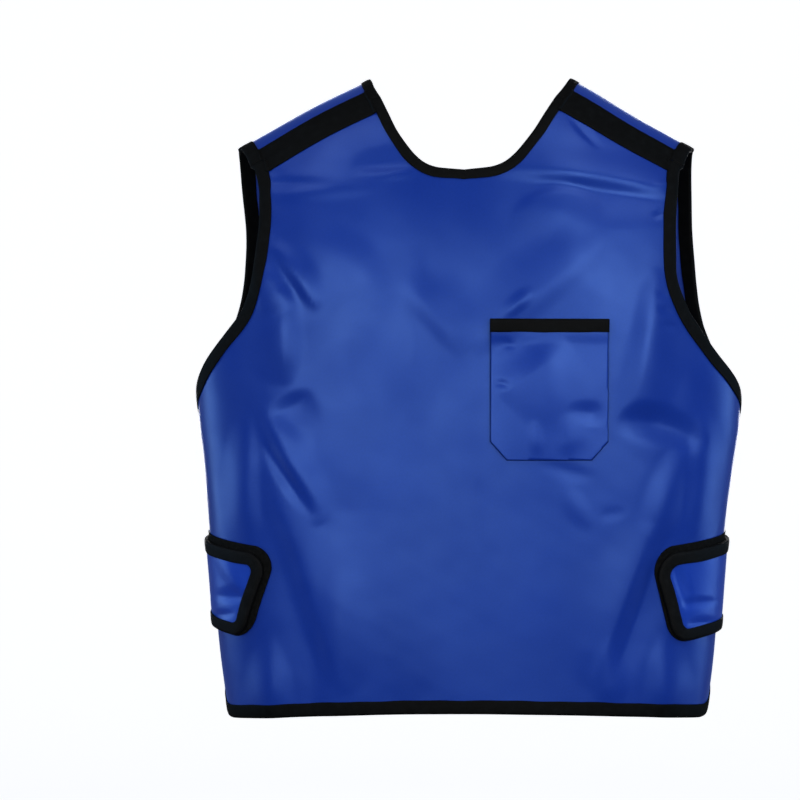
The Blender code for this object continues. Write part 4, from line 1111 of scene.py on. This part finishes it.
def tab_outline(tab, nose_turn, chin_turn, back_turn, margins, chin_round, tip_round):
    """Outline of a tab or its patch, from the back of its bottom edge round the nose to the back."""
    turns = np.linspace(chin_turn, back_turn, CURVE_SAMPLES)
    low = paired(turns, run_at(FRONT, turns, tab_heights(tab, turns)[1] - margins[1]))
    turns = np.linspace(nose_turn, back_turn, CURVE_SAMPLES)
    top = paired(turns, run_at(FRONT, turns, tab_heights(tab, turns)[0] + margins[0]))
    nose = low[0] + (top[0] - low[0]) * np.linspace(0.0, 1.0, CURVE_SAMPLES)[:, None]
    chin_cut = corner_cut(FRONT, low[::-1], nose, chin_round)
    tip_cut = corner_cut(FRONT, nose, top, tip_round)
    nose_part = stretch(FRONT, nose, chin_cut, tip_cut, SMALL_GRID)
    low_part = stretch(FRONT, low, chin_cut, 0.0, SMALL_GRID)[::-1]
    top_part = stretch(FRONT, top, tip_cut, 0.0, SMALL_GRID)
    chin_arc = corner(FRONT, low_part[-1], low[0], nose_part[0], SMALL_GRID)
    tip_arc = corner(FRONT, nose_part[-1], top[0], top_part[0], SMALL_GRID)
    return np.concatenate((low_part, chin_arc, nose_part, tip_arc, top_part))


# A tab's creases begin this far inside its edge and rise over the blend, and fade from this turn on
CREASE_MARGIN = 0.002
CREASE_BLEND = 0.010
CREASE_END_TURN = math.radians(95.0)
CREASE_END_FADE = 0.2


def make_tab(tab, materials):
    """One side tab with its binding."""
    nose_turn, chin_turn = tab_turns(tab)
    tip_round = TAB_BINDING_REACH + tab.tip
    edge = tab_outline(tab, nose_turn, chin_turn, TAB_ROOT_TURN, (0.0, 0.0), TAB_CHIN_ROUND, tip_round)
    root = between(edge[-1], edge[0], ROOT_STEPS)
    if tab.sign < 0:
        edge, root = mirrored(edge)[::-1], mirrored(root)[::-1]
    ring = np.concatenate((edge, root))
    cut = fill(ring, SMALL_GRID, TAB_RADIUS, SMALL_MARGIN * SMALL_GRID)
    places, gap = cut[0], cut[2]
    behind = ease((np.abs(places[:, 0]) - CREASE_END_TURN) / CREASE_END_FADE)
    soft = ease((gap - CREASE_MARGIN) / CREASE_BLEND) * (1.0 - behind)
    creases = crease_lift(TAB_CREASES, *picture(skin(FRONT, places))) * soft
    lift = tab_lift(places) + creases
    cloth = add_cloth("tab_cloth_" + tab.name, FRONT, cut, lift, TAB_CLOTH, materials["tab"])
    tape = add_binding(
        "tab_tape_" + tab.name, FRONT, edge, TAB_BINDING_REACH, TAB_CLOTH, tab_lift, materials["tab_tape"],
        seed=4.0 + tab.sign,
    )
    return cloth, tape


def make_patch(tab, materials):
    """The patch of fastener loop under a tab."""
    nose_turn, chin_turn = tab_turns(tab)
    nose_run = float(run_at(FRONT, nose_turn, tab_heights(tab, nose_turn)[0]))
    forward = tab.shown / metric(FRONT, (nose_turn, nose_run))
    outline = tab_outline(
        tab, nose_turn - forward, chin_turn - forward, PATCH_BACK_TURN,
        (PATCH_TOP_MARGIN, PATCH_FOOT_MARGIN), TAB_CHIN_ROUND + tab.shown,
        TAB_BINDING_REACH + tab.tip + PATCH_FOOT_MARGIN,
    )
    ring = np.concatenate((outline, between(outline[-1], outline[0], PATCH_STEPS)))
    if tab.sign < 0:
        ring = mirrored(ring)[::-1]
    cut = fill(ring, SMALL_GRID, TAB_RADIUS, SMALL_MARGIN * SMALL_GRID)
    lift = 0.5 * CLOTH + PATCH_CLEARANCE + 0.5 * PATCH_CLOTH
    return add_cloth("loop_" + tab.name, FRONT, cut, lift, PATCH_CLOTH, materials["loop"])


class Nodes:
    """Adds nodes to a material and links them."""

    def __init__(self, name):
        self.material = bpy.data.materials.new(name)
        self.material.use_nodes = True
        self.tree = self.material.node_tree
        self.shader = self.tree.nodes["Principled BSDF"]

    def add(self, kind, values=None, **settings):
        """A node of this kind with these settings, and inputs set or linked by name or number."""
        node = self.tree.nodes.new(kind)
        for key, value in settings.items():
            setattr(node, key, value)
        for key, value in (values or {}).items():
            if isinstance(value, bpy.types.NodeSocket):
                self.tree.links.new(value, node.inputs[key])
            else:
                node.inputs[key].default_value = value
        return node

    def link(self, output, name):
        """Links an output to one of the shader's inputs."""
        self.tree.links.new(output, self.shader.inputs[name])

    def set(self, **values):
        """Sets the shader's own sockets."""
        for name, value in values.items():
            self.shader.inputs[name.replace("_", " ")].default_value = value

    def weave_place(self):
        """Metres along and across the cloth or tape."""
        return self.add("ShaderNodeUVMap", uv_map="UVMap").outputs["UV"]

    def object_place(self):
        """Metres in the frame."""
        return self.add("ShaderNodeTexCoord").outputs["Object"]

    def noise(self, place, scale, detail):
        """Soft noise, with this many cells to the metre."""
        values = {"Vector": place, "Scale": scale, "Detail": detail}
        return self.add("ShaderNodeTexNoise", values).outputs["Fac"]

    def ramp(self, factor, stops):
        """A colour ramp with these (place, colour) stops."""
        node = self.add("ShaderNodeValToRGB", {"Fac": factor})
        elements = node.color_ramp.elements
        while len(elements) < len(stops):
            elements.new(0.5)
        for element, (place, colour) in zip(elements, stops):
            element.position = place
            element.color = (*colour, 1.0)
        return node.outputs["Color"]

    def multiply(self, factor, first, second):
        """Two colours multiplied, by this share."""
        values = {"Factor": factor, "A": first, "B": second}
        node = self.add("ShaderNodeMix", values, data_type="RGBA", blend_type="MULTIPLY")
        return node.outputs["Result"]

    def math(self, operation, first, second=0.0):
        """A value worked out from one or two others."""
        return self.add("ShaderNodeMath", {0: first, 1: second}, operation=operation).outputs[0]

    def roughness(self, noise, low, high):
        """Lets the shader's roughness follow a noise."""
        values = {"Value": noise, "From Min": 0.3, "From Max": 0.7, "To Min": low, "To Max": high}
        self.link(self.add("ShaderNodeMapRange", values).outputs["Result"], "Roughness")

    def bump(self, height, strength, distance, **over):
        """Normals of a bumpy surface, over those of another one where Normal is given."""
        values = {"Strength": strength, "Distance": distance, "Height": height, **over}
        return self.add("ShaderNodeBump", values).outputs["Normal"]


def weave(nodes, uv, count):
    """Height of a plain weave with this many threads to the metre."""
    scaled = nodes.add("ShaderNodeVectorMath", {0: uv, "Scale": count * math.pi * 2.0}, operation="SCALE")
    parts = nodes.add("ShaderNodeSeparateXYZ", {0: scaled.outputs[0]})
    warp = nodes.math("SINE", parts.outputs[0])
    weft = nodes.math("SINE", parts.outputs[1])
    return nodes.math("MULTIPLY", warp, weft)


def cloth_material(name, dark, mid, light, roughness, seam=None):
    """Coated nylon: fine weave under a soft coating, uneven sheen and faint rubbing marks.

    seam is (reach, share): how far in from the edge and how much its folded seam and painted shade darken
    it.
    """
    nodes = Nodes(name)
    uv, place = nodes.weave_place(), nodes.object_place()
    broad = nodes.noise(place, scale=9.0, detail=3.0)
    colour = nodes.ramp(broad, ((0.32, dark), (0.5, mid), (0.68, light)))
    fine = nodes.noise(uv, scale=420.0, detail=3.0)
    speck = nodes.ramp(fine, ((0.30, (0.90, 0.90, 0.92)), (0.70, (1.06, 1.06, 1.05))))
    colour = nodes.multiply(0.8, colour, speck)
    # Dark line along the piece's edge: partly its folded seam, partly painted shade where the edge stands
    # off the cloth
    if seam:
        reach, share = seam
        far = nodes.add("ShaderNodeAttribute", attribute_name="edge").outputs["Fac"]
        stops = ((0.0, (0.20, 0.22, 0.30)), (0.55, (0.42, 0.45, 0.55)), (1.0, (1.0, 1.0, 1.0)))
        colour = nodes.multiply(share, colour, nodes.ramp(nodes.math("DIVIDE", far, reach), stops))
    nodes.link(colour, "Base Color")
    wear = nodes.noise(place, scale=26.0, detail=4.0)
    nodes.roughness(wear, roughness - 0.04, roughness + 0.05)
    threads = nodes.bump(weave(nodes, uv, count=1500.0), strength=0.04, distance=0.0002)
    nodes.link(nodes.bump(wear, strength=0.16, distance=0.0008, Normal=threads), "Normal")
    nodes.set(Specular_IOR_Level=0.55, Specular_Tint=(0.20, 0.41, 1.0, 1.0))
    nodes.set(Sheen_Weight=0.36, Sheen_Roughness=0.35, Sheen_Tint=(0.09, 0.28, 1.0, 1.0))
    return nodes.material


def shades(base, *stops):
    """Stops of a ramp: a colour scaled by these factors at these places."""
    return [(place, tuple(value * factor for value in base)) for place, factor in stops]


# The threads along a tape, as a share of the ribs across it, and their height as a share of the ribs'
THREAD_COUNT = 1.3
THREAD_HEIGHT = 0.35


def tape_material(name, base, roughness, ribs):
    """Woven black tape: fine ribs across it, and lint that catches the light."""
    nodes = Nodes(name)
    uv, place = nodes.weave_place(), nodes.object_place()
    lint = nodes.noise(place, scale=160.0, detail=4.0)
    nodes.link(nodes.ramp(lint, shades(base, (0.35, 0.7), (0.55, 1.0), (0.75, 1.7))), "Base Color")
    parts = nodes.add("ShaderNodeSeparateXYZ", {0: uv})
    rib = nodes.math("SINE", nodes.math("MULTIPLY", parts.outputs[0], ribs * math.pi * 2.0))
    threads = ribs * THREAD_COUNT
    thread = nodes.math("SINE", nodes.math("MULTIPLY", parts.outputs[1], threads * math.pi * 2.0))
    height = nodes.math("ADD", rib, nodes.math("MULTIPLY", thread, THREAD_HEIGHT))
    woven = nodes.bump(height, strength=0.35, distance=0.00015)
    nodes.link(nodes.bump(lint, strength=0.3, distance=0.0006, Normal=woven), "Normal")
    nodes.roughness(lint, roughness - 0.06, roughness + 0.06)
    nodes.set(Specular_IOR_Level=0.04, Sheen_Weight=0.0)
    return nodes.material


def loop_material(name, base):
    """Fastener loop: a matt black pile of tiny loops."""
    nodes = Nodes(name)
    uv = nodes.weave_place()
    pile = nodes.add("ShaderNodeTexVoronoi", {"Vector": uv, "Scale": 900.0}).outputs["Distance"]
    clump = nodes.noise(uv, scale=260.0, detail=4.0)
    nodes.link(nodes.ramp(clump, shades(base, (0.3, 0.6), (0.5, 1.0), (0.72, 1.9))), "Base Color")
    tufts = nodes.bump(pile, strength=0.6, distance=0.0004)
    nodes.link(nodes.bump(clump, strength=0.6, distance=0.0008, Normal=tufts), "Normal")
    nodes.set(Roughness=0.95, Specular_IOR_Level=0.06, Sheen_Weight=0.0)
    return nodes.material


# The cloths' colours are their dark, middle and light ones
MATERIALS = {
    "cloth": cloth_material(
        "blue_coated_nylon", (0.0030, 0.0180, 0.178), (0.0034, 0.0195, 0.188), (0.0038, 0.0212, 0.200),
        roughness=0.34,
    ),
    "lining": cloth_material(
        "blue_inner_face", (0.018, 0.046, 0.300), (0.022, 0.055, 0.345), (0.026, 0.064, 0.390),
        roughness=0.55,
    ),
    # The pocket's edge gets a dark line: partly its seam, partly painted shade beside the edge
    "pocket": cloth_material(
        "blue_pocket_nylon", (0.0034, 0.0195, 0.190), (0.0038, 0.0208, 0.200), (0.0043, 0.0225, 0.210),
        roughness=0.34, seam=(0.0013, 0.9),
    ),
    "tab": cloth_material(
        "blue_tab_nylon", (0.0044, 0.0256, 0.246), (0.0049, 0.0280, 0.262), (0.0055, 0.0302, 0.278),
        roughness=0.34,
    ),
    "tape": tape_material("black_binding_tape", (0.0015, 0.0018, 0.0021), roughness=0.60, ribs=950.0),
    "tab_tape": tape_material("black_tab_tape", (0.0023, 0.0026, 0.0030), roughness=0.55, ribs=950.0),
    "loop": loop_material("black_fastener_loop", (0.0020, 0.0022, 0.0024)),
}

front_panel, front_neck_tape, front_edge_tape, front_neck, front_outer = make_panel(FRONT, MATERIALS)
back_panel, back_neck_tape, back_edge_tape, back_neck, back_outer = make_panel(BACK, MATERIALS)
pocket, pocket_tape = make_pocket(MATERIALS)

CLOTH_SLOT, TAPE_SLOT, LOOP_SLOT = "coated_cloth", "binding_tape", "fastener_loop"
STANDS_FOR = [
    (front_panel, "front_panel", CLOTH_SLOT),
    (back_panel, "back_panel", CLOTH_SLOT),
    (front_neck_tape, "neck_binding_front", TAPE_SLOT),
    (back_neck_tape, "neck_binding_back", TAPE_SLOT),
    (front_edge_tape, "edge_binding_front", TAPE_SLOT),
    (back_edge_tape, "edge_binding_back", TAPE_SLOT),
    (pocket, "pocket", CLOTH_SLOT),
    (pocket_tape, "pocket_band", TAPE_SLOT),
]
for tab in TABS:
    tab_cloth, tab_tape = make_tab(tab, MATERIALS)
    patch = make_patch(tab, MATERIALS)
    band = make_shoulder_band(
        "shoulder_tape_" + tab.name, tab.sign, SPREADS[tab.name], (front_neck, front_outer),
        (back_neck, back_outer), MATERIALS,
    )
    STANDS_FOR += [
        (tab_cloth, "side_tab_" + tab.name, CLOTH_SLOT),
        (tab_tape, "tab_binding_" + tab.name, TAPE_SLOT),
        (patch, "loop_patch_" + tab.name, LOOP_SLOT),
        (band, "shoulder_band_" + tab.name, TAPE_SLOT),
    ]
for piece, node, slot in STANDS_FOR:
    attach(piece, "root")
    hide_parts(node)

# Studio: a pale floor whose rim curves up all round into a plain wall, and soft boxes
FLOOR_HEIGHT = -1.35
FLOOR_RADIUS = 4.6
RIM_RADIUS = 3.2
WALL_HEIGHT = 7.0
RIM_STEPS = 14
ROUND_STEPS = 96


def make_floor():
    """A round floor that curves up into a plain surround."""
    profile = [(FLOOR_RADIUS * 0.5, FLOOR_HEIGHT), (FLOOR_RADIUS, FLOOR_HEIGHT)]
    for step in range(1, RIM_STEPS + 1):
        angle = 0.5 * math.pi * step / RIM_STEPS
        height = FLOOR_HEIGHT + RIM_RADIUS * (1.0 - math.cos(angle))
        profile.append((FLOOR_RADIUS + RIM_RADIUS * math.sin(angle), height))
    profile.append((FLOOR_RADIUS + RIM_RADIUS, FLOOR_HEIGHT + WALL_HEIGHT))
    points, faces = [(0.0, 0.0, FLOOR_HEIGHT)], []
    for radius, height in profile:
        for step in range(ROUND_STEPS):
            angle = 2.0 * math.pi * step / ROUND_STEPS
            points.append((radius * math.cos(angle), radius * math.sin(angle), height))
    for step in range(ROUND_STEPS):
        faces.append((0, 1 + step, 1 + (step + 1) % ROUND_STEPS))
    for row in range(len(profile) - 1):
        first = 1 + row * ROUND_STEPS
        beyond = first + ROUND_STEPS
        for step in range(ROUND_STEPS):
            after = (step + 1) % ROUND_STEPS
            faces.append((first + step, beyond + step, beyond + after, first + after))
    mesh = bpy.data.meshes.new("studio_floor")
    mesh.from_pydata(points, [], faces)
    mesh.shade_smooth()
    nodes = Nodes("pale_floor")
    nodes.set(Base_Color=(0.86, 0.865, 0.88, 1.0), Roughness=0.9, Specular_IOR_Level=0.1)
    nodes.set(Emission_Color=(0.97, 0.98, 1.0, 1.0), Emission_Strength=0.80)
    mesh.materials.append(nodes.material)
    thing = add_object("studio_floor", mesh)
    thing.visible_diffuse = False
    thing.visible_glossy = False
    return thing


floor = make_floor()

PLAIN, COOL = (1.0, 1.0, 1.0), (0.38, 0.66, 1.0)
Lamp = namedtuple("Lamp", "name x y z width height power tint")
LAMPS = table(
    Lamp,
    ("left_key", -1.57, -2.90, -0.06, 1.8, 0.85, 40.0, PLAIN),
    ("middle_key", 0.06, -3.3, -0.32, 1.5, 0.56, 22.5, PLAIN),
    ("right_key", 1.77, -2.78, 0.26, 1.5, 1.5, 56.0, PLAIN),
    ("high_left", -1.66, -1.36, 2.00, 1.3, 1.0, 18.0, PLAIN),
    ("high_right", 1.48, -1.62, 2.00, 1.6, 1.0, 22.0, PLAIN),
    ("top_key", 0.0, -0.6, 2.7, 2.4, 0.8, 9.0, PLAIN),
    ("left_rim", -2.45, 0.34, -0.10, 1.0, 1.5, 22.0, COOL),
    ("right_rim", 2.45, 0.38, -0.12, 1.0, 1.8, 23.5, COOL),
    ("back_key", -0.12, 3.3, -0.22, 3.4, 0.7, 62.0, PLAIN),
    ("back_high", 0.1, 3.1, 0.85, 3.2, 0.7, 34.0, PLAIN),
)
AIM = Vector((0.0, 0.0, -0.28))
for lamp in LAMPS:
    light = bpy.data.lights.new(lamp.name, "AREA")
    light.shape = "RECTANGLE"
    light.size = lamp.width
    light.size_y = lamp.height
    light.energy = lamp.power
    light.color = lamp.tint
    thing = add_object(lamp.name, light)
    thing.location = (lamp.x, lamp.y, lamp.z)
    thing.rotation_mode = "QUATERNION"
    thing.rotation_quaternion = (AIM - thing.location).to_track_quat("-Z", "Y")
    thing.visible_camera = False

SKY_COLOUR = (0.93, 0.95, 1.0, 1.0)
SKY_STRENGTH = 0.14
world = bpy.data.worlds.new("studio")
world.use_nodes = True
sky = world.node_tree.nodes["Background"].inputs
sky["Color"].default_value = SKY_COLOUR
sky["Strength"].default_value = SKY_STRENGTH
bpy.context.scene.world = world
bpy.context.scene.view_settings.view_transform = "Standard"
bpy.context.scene.view_settings.look = "None"
